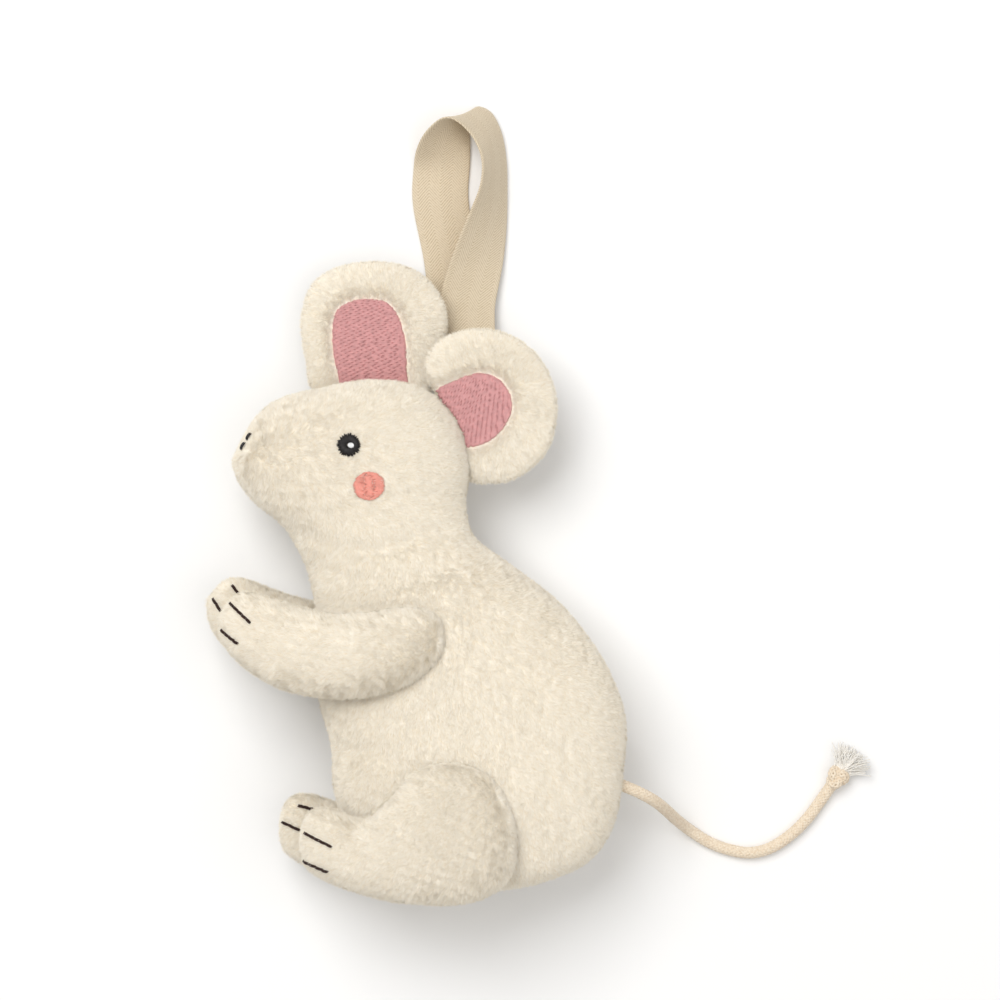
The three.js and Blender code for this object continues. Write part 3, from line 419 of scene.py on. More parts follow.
def read_triples(rows, field, kind=float):
    """Three numbers from each row of mesh data."""
    values = np.empty(len(rows) * 3, dtype=kind)
    rows.foreach_get(field, values)
    return values.reshape(-1, 3)


def grow_pile(name, guide, count, comb, seed, keep=None):
    """Short pile on a cloth piece: each fibre a thin blade that leans the way the nap is brushed."""
    mesh = guide.data
    mesh.calc_loop_triangles()
    points, normals = read_triples(mesh.vertices, "co"), read_triples(mesh.vertices, "normal")
    corners = read_triples(mesh.loop_triangles, "vertices", np.int32)
    if keep is not None:
        corners = corners[keep(points[corners].mean(axis=1), normals[corners].mean(axis=1))]
    a, b, c = (points[corners[:, k]] for k in range(3))
    area = np.linalg.norm(np.cross(b - a, c - a), axis=1)
    draw = np.random.default_rng(seed)
    pick = draw.choice(len(corners), size=count, p=area / area.sum())
    u, v = draw.random(count), draw.random(count)
    flip = u + v > 1
    u[flip], v[flip] = 1 - u[flip], 1 - v[flip]
    w = 1 - u - v
    root = u[:, None] * a[pick] + v[:, None] * b[pick] + w[:, None] * c[pick]
    normal = unit(u[:, None] * normals[corners[pick, 0]] + v[:, None] * normals[corners[pick, 1]]
                  + w[:, None] * normals[corners[pick, 2]])
    nap = comb(root * 1000)
    nap[:, 2] -= NAP_DROOP * np.sign(normal[:, 2]) * (1 - np.abs(normal[:, 2]))
    swirl = (soft_lumps(root * 1000, 9.0, 0.25, seed + 1) + soft_lumps(root * 1000, 2.6, 0.45, seed + 3)
             + draw.normal(0, 0.35, count))
    nap = unit(nap - normal * np.sum(nap * normal, axis=1, keepdims=True))
    beside = np.cross(normal, nap)
    heading = np.cos(swirl)[:, None] * nap + np.sin(swirl)[:, None] * beside
    tufts = soft_lumps(root * 1000, 2.2, 1.0, seed + 2)
    stand = np.radians(draw.uniform(*FIBRE_STAND, count) + TUFT_STAND * tufts)
    direction = np.cos(stand)[:, None] * heading + np.sin(stand)[:, None] * normal
    reach = PILE_LENGTH / 1000 * draw.uniform(0.6, 1.1, count)
    tip = root + direction * reach[:, None]
    tip[:, 2] = np.maximum(tip[:, 2], 0.0002)
    half_width = FIBRE_HALF_WIDTH / 1000 * draw.uniform(0.7, 1.2, count)
    wide = unit(np.cross(direction, normal)) * half_width[:, None]
    fibre_points = np.stack([root - wide, root + wide, tip], axis=1).reshape(-1, 3)
    pile = bpy.data.meshes.new(name)
    pile.vertices.add(3 * count)
    pile.vertices.foreach_set("co", fibre_points.ravel())
    pile.loops.add(3 * count)
    pile.loops.foreach_set("vertex_index", np.arange(3 * count, dtype=np.int32))
    pile.polygons.add(count)
    pile.polygons.foreach_set("loop_start", np.arange(0, 3 * count, 3, dtype=np.int32))
    tones = draw.choice(len(pile_tones), size=count, p=TONE_SHARES)
    pile.polygons.foreach_set("material_index", tones.astype(np.int32))
    pile.update(calc_edges=True)
    for tone in pile_tones:
        pile.materials.append(tone)
    piece = bpy.data.objects.new(name, pile)
    bpy.context.scene.collection.objects.link(piece)
    return piece


def tuck_seam(grid, table, wide, most):
    """Turns the cloth in along the seam of a stuffed shape, and tells how near the seam each point is."""
    seam = np.exp(-((np.abs(grid[..., 2] - table[:, 5:6]) / wide) ** 2))
    inward = (table[:, 0:2] + table[:, 2:4])[:, None, :] / 2 - grid[..., :2]
    size = np.linalg.norm(inward, axis=-1, keepdims=True)
    grid[..., :2] += inward / np.maximum(size, 1e-6) * np.minimum(0.1 * size, most * seam[..., None])
    return seam


def body_half(name, side, rings=150, around=90):
    """One side panel, stuffed: a rounded half with its edge turned in at the seam."""
    edge = 0.02
    span = (edge, np.pi - edge) if side > 0 else (2 * np.pi - edge, np.pi + edge)
    grid = stuffed_rings(BODY, rings, around, *span, closed=False)
    table = rows_through(BODY, rings)[1:-1]
    seam = tuck_seam(grid, table, SEAM_WIDTH, SEAM_TUCK)
    grid[..., 2] += side * soft_lumps(grid, 34, 0.55, 3) * (1 - seam)
    for line, deep, wide in BODY_CREASES:
        gap, where = distance_to_line(grid[..., 0], grid[..., 1], line)
        fade = np.sin(np.pi * np.clip(where, 0.02, 0.98)) ** 0.5
        grid[..., 2] -= side * deep * fade * np.exp(-((gap / wide) ** 2)) * (1 - seam)
    grid[..., 2] = np.maximum(grid[..., 2], FLOOR)
    grid[:, [0, -1], 2] = table[:, 5:6] + 0.05 * side
    count = len(grid)
    points = grid.reshape(-1, 3)
    faces = ring_faces(count, around, closed=False)
    middle = (table[:, 0:2] + table[:, 2:4]) / 2
    shift = np.repeat(np.hstack([middle, table[:, 5:6]]), around, axis=0) - points
    reach = np.linalg.norm(shift, axis=1, keepdims=True)
    inner = points + shift / np.maximum(reach, 1e-6) * np.minimum(reach * 0.5, CLOTH_THICKNESS)
    total = len(points)
    faces += [tuple(total + k for k in reversed(face)) for face in ring_faces(count, around, closed=False)]
    for i in range(count - 1):
        for j in (0, around - 1):
            a, b = i * around + j, (i + 1) * around + j
            faces.append((a, b, total + b, total + a) if j else (b, a, total + a, total + b))
    for j in range(around - 1):
        last = (count - 1) * around
        faces.append((j + 1, j, total + j, total + j + 1))
        faces.append((last + j, last + j + 1, total + last + j + 1, total + last + j))
    return add_piece(name, from_drawing(np.vstack([points, inner])), faces, pile_backing)


def fix_facing(piece):
    """Faces of a closed piece all look outwards."""
    work = bmesh.new()
    work.from_mesh(piece.data)
    bmesh.ops.recalc_face_normals(work, faces=work.faces)
    work.to_mesh(piece.data)
    work.free()
    piece.data.update()


NOSE_TIP, NAPE = (-62, 18), (-8, 10)


def brushed_down(points):
    """The nap is brushed back from the nose over the head, then down from the nape to the seat."""
    head = unit(points[:, :2] - NOSE_TIP)
    back = unit(points[:, :2] - NAPE)
    share = np.clip((points[:, 1:2] + 27) / 22, 0, 1)
    return np.column_stack([share * head + (1 - share) * back, np.zeros(len(points))])


def surface_of(*pieces):
    """Finds the outer surface of pieces along a line."""
    points, faces = [], []
    for piece in pieces:
        first = len(points)
        points += [v.co.copy() for v in piece.data.vertices]
        faces += [tuple(first + k for k in face.vertices) for face in piece.data.polygons]
    return BVHTree.FromPolygons(points, faces)


def drop_on(surface, x, y, side=1):
    """Where a line straight down (or up) at a place of the drawing meets a surface, and its normal."""
    start = Vector(from_drawing((x, y, 60 * side)))
    hit, normal, _, _ = surface.ray_cast(start, Vector((0, 0, -side)))
    if hit is None:
        return None, None
    if normal.z * side < 0:
        normal = -normal
    return np.array(hit) * 1000, np.array(normal)


body_left = body_half("body_left_cloth", 1)
body_right = body_half("body_right_cloth", -1)
for piece, node in ((body_left, "body_left_panel"), (body_right, "body_right_panel")):
    fix_facing(piece)
    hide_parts(node)
    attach(piece, "mouse")
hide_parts("body_stuffing")


def outer_skin(piece):
    """The outer layer of a hollow cloth piece, which carries the pile."""
    half = len(piece.data.vertices) // 2
    skin = bpy.data.meshes.new("pile_guide")
    skin.from_pydata([v.co[:] for v in piece.data.vertices[:half]], [],
                     [tuple(face.vertices) for face in piece.data.polygons if max(face.vertices) < half])
    skin.update()
    return bpy.data.objects.new("pile_guide", skin)


def plush(name, base, fibres, comb, seed, guide=None, keep=None):
    """Grows the pile of a cloth piece and fixes it there."""
    pile = grow_pile(name, guide or base, fibres, comb, seed, keep=keep)
    pile.parent = base
    return pile


for piece, fibres, seed in ((body_left, 300000, 11), (body_right, 160000, 12)):
    plush(piece.name.replace("cloth", "pile"), piece, fibres, brushed_down, seed, guide=outer_skin(piece))


# Arms and legs: each is two shaped pieces of the same plush sewn round the edge, turned and
# stuffed, and tacked through the side of the body with strong thread so that it can swing.
ARM = [
    (10.7, -47.3, 10.7, -47.3, 0, 21), (7, -54.7, 7, -38, 8.5, 21), (-3.3, -61.7, -3.3, -36, 12, 21.7),
    (-16.7, -65, -15.7, -37.7, 12.7, 21.7), (-30, -65, -26.7, -38, 12.4, 19.5),
    (-43.3, -62.3, -37.3, -36, 11.5, 17), (-53.7, -56.7, -46.3, -33.3, 10.5, 14.5),
    (-60.3, -50.7, -53.3, -31.3, 9, 13), (-63.3, -45.3, -59, -32.5, 6, 12.2),
    (-64.3, -39, -64.3, -39, 0, 12),
]
LEG = [
    (34.7, -113.3, 34.7, -113.3, 0, 20), (31.3, -124.7, 31.7, -100.7, 9, 20),
    (23.3, -130.7, 25, -90.7, 12.5, 21), (13.3, -133, 12.3, -86, 13.2, 21.5),
    (1, -132.7, 1, -89.7, 13.2, 21.3), (-8, -131.7, -8, -99, 12.8, 20.5),
    (-19, -129, -15.7, -105.3, 11.5, 17.5), (-28.3, -125.7, -26.7, -102.7, 10.5, 15.5),
    (-34.7, -121.7, -32.3, -102.7, 8, 14.5), (-36.7, -117, -35.7, -106.3, 5.5, 14),
    (-37, -112.3, -37, -112.3, 0, 14),
]
ARM_PIVOT, LEG_PIVOT = (-1, -49), (13, -111)
FAR_ARM, FAR_LEG = ((-6, 1), -3.5), ((-8, 2), -1)
PAW_STITCHES = [((-60.3, -34.6), (-53.2, -41)), ((-63.0, -43.0), (-57.2, -47.6))]
FOOT_STITCHES = [((-35.6, -109.9), (-26.3, -114.2)), ((-35.9, -118.9), (-27.5, -122.2))]
INNER_PAW_STITCHES = [((-61.3, -29.2), (-58.2, -33.2)), ((-67.2, -33.4), (-63.6, -39))]
INNER_FOOT_STITCHES = [((-39.2, -103.1), (-33.4, -104.6)), ((-44.2, -108.2), (-38, -110.9))]
ARM_SWING, LEG_SWING = 14, 12
BODY_CLEARANCE = 0.9
LIMB_SEAM_WIDTH, LIMB_SEAM_TUCK = 1.3, 0.9
WELL_OUTSIDE = 60


def seat_of(x, y, pivot, seat):
    """Moves a place of an upper limb to where it is on the limb underneath."""
    (shift_x, shift_y), turn = seat
    turn = math.radians(turn)
    dx, dy = x - pivot[0], y - pivot[1]
    return (pivot[0] + dx * math.cos(turn) - dy * math.sin(turn) + shift_x,
            pivot[1] + dx * math.sin(turn) + dy * math.cos(turn) + shift_y)


def mirrored_rows(rows, pivot, seat):
    """Rows of an upper limb, turned over for the limb underneath."""
    moved = []
    for row in rows:
        near = seat_of(row[0], row[1], pivot, seat)
        far = seat_of(row[2], row[3], pivot, seat)
        moved.append((*near, *far, row[4], -row[5]))
    return moved


body_rings = stuffed_rings(BODY, 120, 80)
body_tree = BVHTree.FromPolygons([Vector(p) for p in body_rings.reshape(-1, 3)],
                                 ring_faces(len(body_rings), 80))


def rest_on_body(points, side, pivot, swing):
    """Shapes a limb's inner face to the body, clear of it all through the limb's swing."""
    moved = points.copy()
    straight = Vector((0, 0, -side))
    for turn in np.radians(np.linspace(-swing - 1, swing + 1, 9)):
        dx, dy = points[:, 0] - pivot[0], points[:, 1] - pivot[1]
        x = pivot[0] + dx * np.cos(turn) - dy * np.sin(turn)
        y = pivot[1] + dx * np.sin(turn) + dy * np.cos(turn)
        for k in range(len(points)):
            hit = body_tree.ray_cast(Vector((x[k], y[k], WELL_OUTSIDE * side)), straight)[0]
            if hit is not None and side * moved[k, 2] < side * hit.z + BODY_CLEARANCE:
                moved[k, 2] = hit.z + side * BODY_CLEARANCE
    return moved


def limb(name, rows, side, seed, pivot, swing, rings=110, around=88):
    """A stuffed limb with a fine seam round its edge and a few soft dents."""
    grid = stuffed_rings(rows, rings, around)
    table = rows_through(rows, rings)[1:-1]
    seam = tuck_seam(grid, table, LIMB_SEAM_WIDTH, LIMB_SEAM_TUCK)
    grid[..., 2] += np.sign(grid[..., 2] - table[:, 5:6]) * soft_lumps(grid, 22, 0.35, seed) * (1 - seam)
    grid[..., 2] = np.maximum(grid[..., 2], FLOOR)
    points = rest_on_body(grid.reshape(-1, 3), side, pivot, swing)
    faces = ring_faces(len(grid), around)
    first, last = len(points), len(points) + 1
    ends = np.array([grid[0].mean(axis=0), grid[-1].mean(axis=0)])
    faces += [(first, (j + 1) % around, j) for j in range(around)]
    tail_ring = (len(grid) - 1) * around
    faces += [(last, tail_ring + j, tail_ring + (j + 1) % around) for j in range(around)]
    piece = add_piece(name, from_drawing(np.vstack([points, ends])), faces, pile_backing)
    fix_facing(piece)
    return piece


def embroidery(name, colour, gloss):
    """Rayon embroidery thread: a plain dyed colour with a soft shine along each stitch."""
    material = new_finish(name, {"Specular IOR Level": 0.3})
    colour_by(material, grain_in(material, 700, detail=4), [c * 0.8 for c in colour], colour, 0.3, 0.65)
    ply = grain_in(material, 5200)
    roughen_by(material, ply, gloss - 0.1, gloss + 0.15)
    raise_by(material, ply, 0.4, 0.00005)
    return material


def join_pieces(parts):
    """Joins parts into the first of them."""
    with bpy.context.temp_override(active_object=parts[0], selected_editable_objects=parts):
        bpy.ops.object.join()
    return parts[0]


def laid_stitches(name, surface, pairs, side, radius, material, lift=0.0, arch=0.12, steps=7, dip=0.15,
                  level=-1.0):
    """Embroidery stitches laid on a surface, each dipping into the cloth at its two ends."""
    shares = np.linspace(0, 1, steps)
    lines = []
    for start, end in pairs:
        start, span = np.array(start), np.array(end) - start
        found = [drop_on(surface, *(start + span * share), side) for share in shares]
        held = [share for share, (place, normal) in zip(shares, found)
                if place is not None and normal[2] * side >= level]
        if len(held) < 3:
            continue
        if len(held) < steps:
            start, span = start + span * held[0], span * (held[-1] - held[0])
            found = [drop_on(surface, *(start + span * share), side) for share in shares]
            if any(place is None for place, _ in found):
                continue
        rise = [lift + arch * math.sin(math.pi * share) - dip * abs(2 * share - 1) ** 6 for share in shares]
        lines.append([place + normal * height for height, (place, normal) in zip(rise, found)])
    made, faces = yarn_tubes(lines, radius, 6, taper=True)
    return add_piece(name, made / 1000, faces, material)


def back_stitches(ends, pitch=2.1, spread=0.2, seed=0):
    """A drawn line as a row of short overlapping stitches, two strands to each."""
    start, end = np.array(ends[0], dtype=float), np.array(ends[1], dtype=float)
    heading = unit(end - start)
    across = np.array([-heading[1], heading[0]])
    length = np.linalg.norm(end - start)
    count = max(1, round(length / pitch))
    draw = np.random.default_rng(seed)
    pairs = []
    for k in range(count):
        begin = start + heading * length * max(k - 0.15, 0) / count
        finish = start + heading * length * min(k + 1.12, count) / count
        wander = draw.uniform(-0.12, 0.12)
        for strand in (-1, 1):
            pairs.append((tuple(begin + across * (strand * spread + wander)),
                          tuple(finish + across * (strand * spread - wander))))
    return pairs


def drawn_stitch(name, surface, lines, material, radius, body, node):
    """Bold lines of thread: each is the side it is worked on and its two ends."""
    parts = []
    for number, (side, ends) in enumerate(lines):
        parts.append(laid_stitches(f"{name}_{number}", surface, back_stitches(ends, seed=number), side,
                                   radius, material, lift=0.75, arch=0.3))
    piece = join_pieces(parts) if len(parts) > 1 else parts[0]
    piece.name = name
    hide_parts(node)
    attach(piece, body)
    return piece


brown_thread = embroidery("brown_thread", (0.035, 0.014, 0.010), 0.6)
tack_thread = cotton("tack_thread", (0.9, 0.88, 0.84), (0.8, 0.78, 0.74), 1500)


def along_limb(towards):
    """The nap of a limb is brushed towards its paw or foot."""
    return lambda points: np.tile([*towards, 0.0], (len(points), 1))


def refinish(node, finish):
    """Gives a part its finish in place of its plain colour."""
    materials = frame["nodes"][node].data.materials
    materials.clear()
    materials.append(finish)


# Each limb: its node, body, rows, side, toe stitches, pivot, seat, way of the nap, and fibres of pile.
LIMBS = [
    ("arm_left", "left_arm", ARM, 1, PAW_STITCHES, ARM_PIVOT, None, (-1, 0.1), 90000),
    ("arm_right", "right_arm", mirrored_rows(ARM, ARM_PIVOT, FAR_ARM), -1, PAW_STITCHES, ARM_PIVOT,
     FAR_ARM, (-1, 0.1), 60000),
    ("leg_left", "left_leg", LEG, 1, FOOT_STITCHES, LEG_PIVOT, None, (-0.9, -0.5), 110000),
    ("leg_right", "right_leg", mirrored_rows(LEG, LEG_PIVOT, FAR_LEG), -1, FOOT_STITCHES, LEG_PIVOT,
     FAR_LEG, (-0.9, -0.5), 70000),
]
for number, (node, mover, rows, side, stitches, pivot, seat, nap, fibres) in enumerate(LIMBS):
    at = seat_of(*pivot, pivot, seat) if seat else pivot
    cloth = limb(node + "_cloth", rows, side, 40 + number, at, ARM_SWING if "arm" in node else LEG_SWING)
    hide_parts(node)
    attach(cloth, mover)
    surface = surface_of(cloth)

    def not_against_body(place, normal, side=side):
        hidden = (normal[:, 2] * side < -0.75) & (place[:, 0] > -0.024)
        return ~hidden
    plush(node + "_pile", cloth, fibres, along_limb(nap), 60 + number, keep=not_against_body)
    for order, ends in enumerate(stitches):
        lines = [(side, ends)]
        if seat:
            worked_through = (INNER_PAW_STITCHES if node == "arm_right" else INNER_FOOT_STITCHES)[order]
            lines = [(side, [seat_of(*end, pivot, seat) for end in ends]), (-side, worked_through)]
        drawn_stitch(f"{node}_toe_stitch_{order + 1}", surface, lines, brown_thread, 0.28,
                     mover, f"{node}_toe_{order + 1}")
    refinish(node + "_tack", tack_thread)


# Face: the eye is a ring of black satin stitches round a white glint, the cheek a patch of salmon
# stitches laid side by side, and the nose two short black bars at the tip. All are sewn to the cloth.
EYE_AT, EYE_RADIUS, EYE_STITCHES = (-21.3, 17.7), 3.9, 64
GLINT_AT, GLINT_RADIUS = (-20.7, 17.6), 1.05
CHEEK_AT, CHEEK_REACH = (-14.7, 4.3), (5.3, 4.6)
NOSE_STITCHES = [((-53.9, 21.6), (-55.3, 19.2)), ((-55.8, 18.6), (-57.2, 16.0))]
black_thread = embroidery("black_thread", (0.016, 0.014, 0.014), 0.42)
white_thread = embroidery("white_thread", (0.95, 0.95, 0.95), 0.4)
cheek_thread = embroidery("cheek_thread", (0.88, 0.37, 0.30), 0.55)


def sewn_patch(name, surface, rows, underlay, side, radius, material, lift):
    """A filled patch: a loose layer of thread across, and the close top layer over it."""
    top = laid_stitches(name, surface, rows, side, radius, material, lift, arch=0.08, steps=6, dip=0.06,
                        level=0.55)
    under = laid_stitches(name + "_under", surface, underlay, side, radius, material, lift - radius,
                          arch=0.0, steps=6, dip=0.0, level=0.55)
    return join_pieces([top, under])


def patch_rows(middle, reach, pitch, turn, seed):
    """Side by side stitches that fill an oval, with slightly uneven ends."""
    draw = np.random.default_rng(seed)
    turn = math.radians(turn)
    rows = []
    for offset in np.arange(-reach[1] + pitch / 2, reach[1], pitch):
        half = reach[0] * math.sqrt(max(1 - (offset / reach[1]) ** 2, 0)) + draw.uniform(-0.25, 0.15)
        if half < 0.3:
            continue
        pieces = max(1, round(2 * half / 3.0))
        cuts = np.linspace(-half, half, pieces + 1)
        cuts[1:-1] += draw.uniform(-0.7, 0.7, max(pieces - 1, 0))
        for a, b in zip(cuts[:-1], cuts[1:]):
            ends = []
            for along in (a, b):
                ends.append((middle[0] + along * math.cos(turn) - offset * math.sin(turn),
                             middle[1] + along * math.sin(turn) + offset * math.cos(turn)))
            rows.append(tuple(ends))
    return rows


for piece_side, body_piece, side in (("left", body_left, 1), ("right", body_right, -1)):
    face_surface = surface_of(body_piece)
    draw = np.random.default_rng(21)
    spokes = []
    for angle in np.linspace(0, 2 * np.pi, EYE_STITCHES, endpoint=False):
        inner = 0.45 + draw.uniform(-0.15, 0.25)
        outer = EYE_RADIUS + draw.uniform(-0.35, 0.25)
        tilt = angle + draw.uniform(-0.06, 0.06)
        spokes.append(((EYE_AT[0] + inner * math.cos(angle), EYE_AT[1] + inner * math.sin(angle)),
                       (EYE_AT[0] + outer * math.cos(tilt), EYE_AT[1] + outer * math.sin(tilt))))
    eye = laid_stitches(f"eye_{piece_side}_satin", face_surface, spokes, side, 0.3, black_thread,
                        lift=0.75, arch=0.35)
    glint = laid_stitches(f"eye_{piece_side}_glint", face_surface,
                          patch_rows(GLINT_AT, (GLINT_RADIUS, GLINT_RADIUS), 0.38, 80, 5), side, 0.24,
                          white_thread, 1.15, 0.15)
    cheek = sewn_patch(f"cheek_{piece_side}_satin", face_surface,
                       patch_rows(CHEEK_AT, CHEEK_REACH, 0.4, 12, 6),
                       patch_rows(CHEEK_AT, (4.1, 4.7), 0.4, 102, 8), side, 0.25, cheek_thread, 0.75)
    for piece, node, slot in ((eye, f"eye_{piece_side}", "black_thread"),
                              (glint, f"eye_glint_{piece_side}", "white_thread"),
                              (cheek, f"cheek_{piece_side}", "cheek_thread")):
        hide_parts(node)
        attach(piece, "mouse")
nose_surface = surface_of(body_left)
for order, ends in enumerate(NOSE_STITCHES):
    drawn_stitch(f"nose_satin_{order + 1}", nose_surface, [(1, ends)], black_thread, 0.3,
                 "mouse", f"nose_stitch_{order + 1}")


# Ears: a front and a back of plush sewn round the edge and turned, fat at the rim, with a dusty
# pink inner ear embroidered on the front. Both are caught in the head's seam, one behind the other.
EAR_HALF_THICKNESS = 4.5
EARS = {
    "left": dict(
        outline=[(8.3, 32.7), (4, 44), (7, 51), (15, 55.3), (25, 56), (35, 52.3), (42.7, 44.3),
                 (46.7, 32.7), (45, 19.3), (38.3, 10.7), (28.3, 6), (16, 8.7)],
        inner=[(7, 34.5), (14, 39.7), (21, 42), (27.7, 40.3), (31.8, 35), (32.3, 29), (29.5, 23.5),
               (25, 19.3), (19, 17.3), (13, 18.5)],
        height=-6, rows_turn=62, root=(13.5, 23.5), along=(0.95, 0.31)),
    "right": dict(
        outline=[(-31, 35.3), (-36.3, 47), (-38, 59.3), (-34.7, 71.3), (-26.3, 77.3), (-15, 79.3),
                 (-3.3, 77.7), (5, 72), (9.7, 62.7), (8.7, 51), (2.3, 35.3)],
        inner=[(-22.5, 35), (-27, 46), (-28, 56), (-26.7, 63), (-22.3, 66.3), (-16.3, 67.3), (-10, 66.3),
               (-6, 62), (-3.6, 54), (-3, 45), (-4, 35)],
        height=-20, rows_turn=8, root=(-12, 38), along=(-0.1, 1)),
}
HEAD_MIDDLE = np.array([-8.0, 12.0])
ear_thread = embroidery("ear_thread", (0.70, 0.36, 0.36), 0.5)


def ring_reach(outline, middle, angles):
    """Distance from the middle to a smooth closed outline in each direction."""
    points = np.asarray(outline, dtype=float)
    loop = curve_through(np.column_stack([np.vstack([points[-2:], points, points[:3]]),
                                          np.zeros(len(points) + 5)]), 900)[:, :2]
    direction = np.arctan2(loop[:, 1] - middle[1], loop[:, 0] - middle[0])
    reach = np.hypot(loop[:, 0] - middle[0], loop[:, 1] - middle[1])
    order = np.argsort(direction)
    wrapped = np.concatenate([direction[order] - 2 * np.pi, direction[order], direction[order] + 2 * np.pi])
    turned = np.arctan2(np.sin(angles), np.cos(angles))
    return np.interp(turned, wrapped, np.tile(reach[order], 3))


def ear_cloth(name, ear, seed, rings=40, around=150):
    """Both faces of an ear as one closed skin."""
    middle = np.mean(ear["outline"], axis=0)
    inner_middle = np.mean(ear["inner"], axis=0)
    angle = np.linspace(0, 2 * np.pi, around, endpoint=False)
    reach = ring_reach(ear["outline"], middle, angle)
    across = np.sin(np.linspace(0, np.pi, 2 * rings))
    facing = np.cos(np.linspace(0, np.pi, 2 * rings))
    heading = np.stack([np.cos(angle), np.sin(angle)], -1)
    plan = middle + (reach[None, :] * across[:, None])[..., None] * heading
    away = plan - inner_middle
    edge = ring_reach(ear["inner"], inner_middle, np.arctan2(away[..., 1], away[..., 0]))
    depth = np.linalg.norm(away, axis=-1) / edge
    dish = 1 / (1 + np.exp((depth - 1.12) * 14))
    full = np.sign(facing[:, None]) * (1 - across[:, None] ** 5) ** 0.5
    height = EAR_HALF_THICKNESS * full * np.where(facing[:, None] > 0, 1 - 0.52 * dish, 0.88)
    height = height + soft_lumps(np.dstack([plan, 0 * height]), 16, 0.22, seed) * np.abs(full)
    grid = np.dstack([plan, ear["height"] + height])
    points = grid[1:-1].reshape(-1, 3)
    count = len(grid) - 2
    faces = ring_faces(count, around)
    first, last = len(points), len(points) + 1
    faces += [(first, j, (j + 1) % around) for j in range(around)]
    tail_ring = (count - 1) * around
    faces += [(last, tail_ring + (j + 1) % around, tail_ring + j) for j in range(around)]
    points = np.vstack([points, grid[0, :1], grid[-1, :1]])
    points = clear_of_head(points, middle - HEAD_MIDDLE)
    piece = add_piece(name, from_drawing(points), faces, pile_backing)
    fix_facing(piece)
    return piece


def clear_of_head(points, towards, gap=0.5):
    """The ear's root butts on the head: points inside the head slide out along the ear to its surface."""
    heading = Vector((*unit(np.asarray(towards, dtype=float)), 0))
    moved = points.copy()
    for k, point in enumerate(points):
        place = Vector(point)
        above = body_tree.ray_cast(place, Vector((0, 0, 1)))[0]
        below = body_tree.ray_cast(place, Vector((0, 0, -1)))[0]
        if above is not None and below is not None:
            leaves = body_tree.ray_cast(place, heading)[0]
            moved[k] = np.array(leaves + heading * gap) if leaves is not None else point
            continue
        nearest, _, _, distance = body_tree.find_nearest(place)
        if distance < gap:
            moved[k] = np.array(nearest + (place - nearest).normalized() * gap)
    return moved


def fill_rows(ear, turn, pitch=0.42, long=4.2, seed=3):
    """Rows of stitches, each row starting at a different place, that fill the inner ear."""
    middle = np.mean(ear["inner"], axis=0)
    turn = math.radians(turn)
    heading = np.array([math.cos(turn), math.sin(turn)])
    beside = np.array([-heading[1], heading[0]])
    draw = np.random.default_rng(seed)
    rows = []
    for number, offset in enumerate(np.arange(-20, 20, pitch)):
        inside = []
        for along in np.arange(-22, 22, 0.25):
            place = heading * along + beside * offset
            reach = ring_reach(ear["inner"], middle, np.array([math.atan2(place[1], place[0])]))[0]
            inside.append(np.hypot(*place) < reach)
        where = np.flatnonzero(inside)
        if len(where) < 4:
            continue
        start = where[0] * 0.25 - 22 + draw.uniform(-0.2, 0.2)
        stop = where[-1] * 0.25 - 22 + draw.uniform(-0.2, 0.2)
        cuts = [start]
        cut = start + long * (0.3 + 0.35 * (number % 3)) + draw.uniform(-0.3, 0.3)
        while cut < stop - 0.8:
            cuts.append(cut)
            cut += long + draw.uniform(-0.4, 0.4)
        cuts.append(stop)
        for a, b in zip(cuts[:-1], cuts[1:]):
            rows.append((tuple(middle + heading * (a - 0.2) + beside * offset),
                         tuple(middle + heading * (b + 0.2) + beside * offset)))
    return rows


def ear_nap(middle):
    """The nap of an ear is brushed outwards, over its rim."""
    def comb(points):
        away = points[:, :2] - (np.asarray(middle) + DRAWING_ORIGIN[:2])
        return np.column_stack([unit(away), np.zeros(len(points))])
    return comb


for number, (ear_side, ear) in enumerate(EARS.items()):
    cloth = ear_cloth(f"ear_{ear_side}_cloth", ear, 80 + number)
    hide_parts(f"ear_{ear_side}_front", f"ear_{ear_side}_back")
    inner_middle = np.mean(ear["inner"], axis=0)

    def outside_patch(place, normal, ear=ear, inner_middle=inner_middle):
        plan = place[:, :2] * 1000 - DRAWING_ORIGIN[:2] - inner_middle
        reach = ring_reach(ear["inner"], inner_middle, np.arctan2(plan[:, 1], plan[:, 0]))
        return (np.linalg.norm(plan, axis=1) > reach + 0.3) | (normal[:, 2] < -0.25)
    ear_pile = plush(f"ear_{ear_side}_pile", cloth, 60000, ear_nap(np.mean(ear["outline"], axis=0)),
                     90 + number, keep=outside_patch)
    ear_pile.parent = None
    turn = ear["rows_turn"]
    inner = sewn_patch(f"ear_{ear_side}_embroidery", surface_of(cloth),
                       fill_rows(ear, turn, seed=30 + number),
                       fill_rows(ear, turn + 90, 0.5, 9, 34 + number), 1, 0.29, ear_thread, 0.45)
    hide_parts(f"ear_{ear_side}_inner")
    root = np.array([*ear["root"], ear["height"]])
    for piece in (cloth, ear_pile, inner):
        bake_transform(piece)


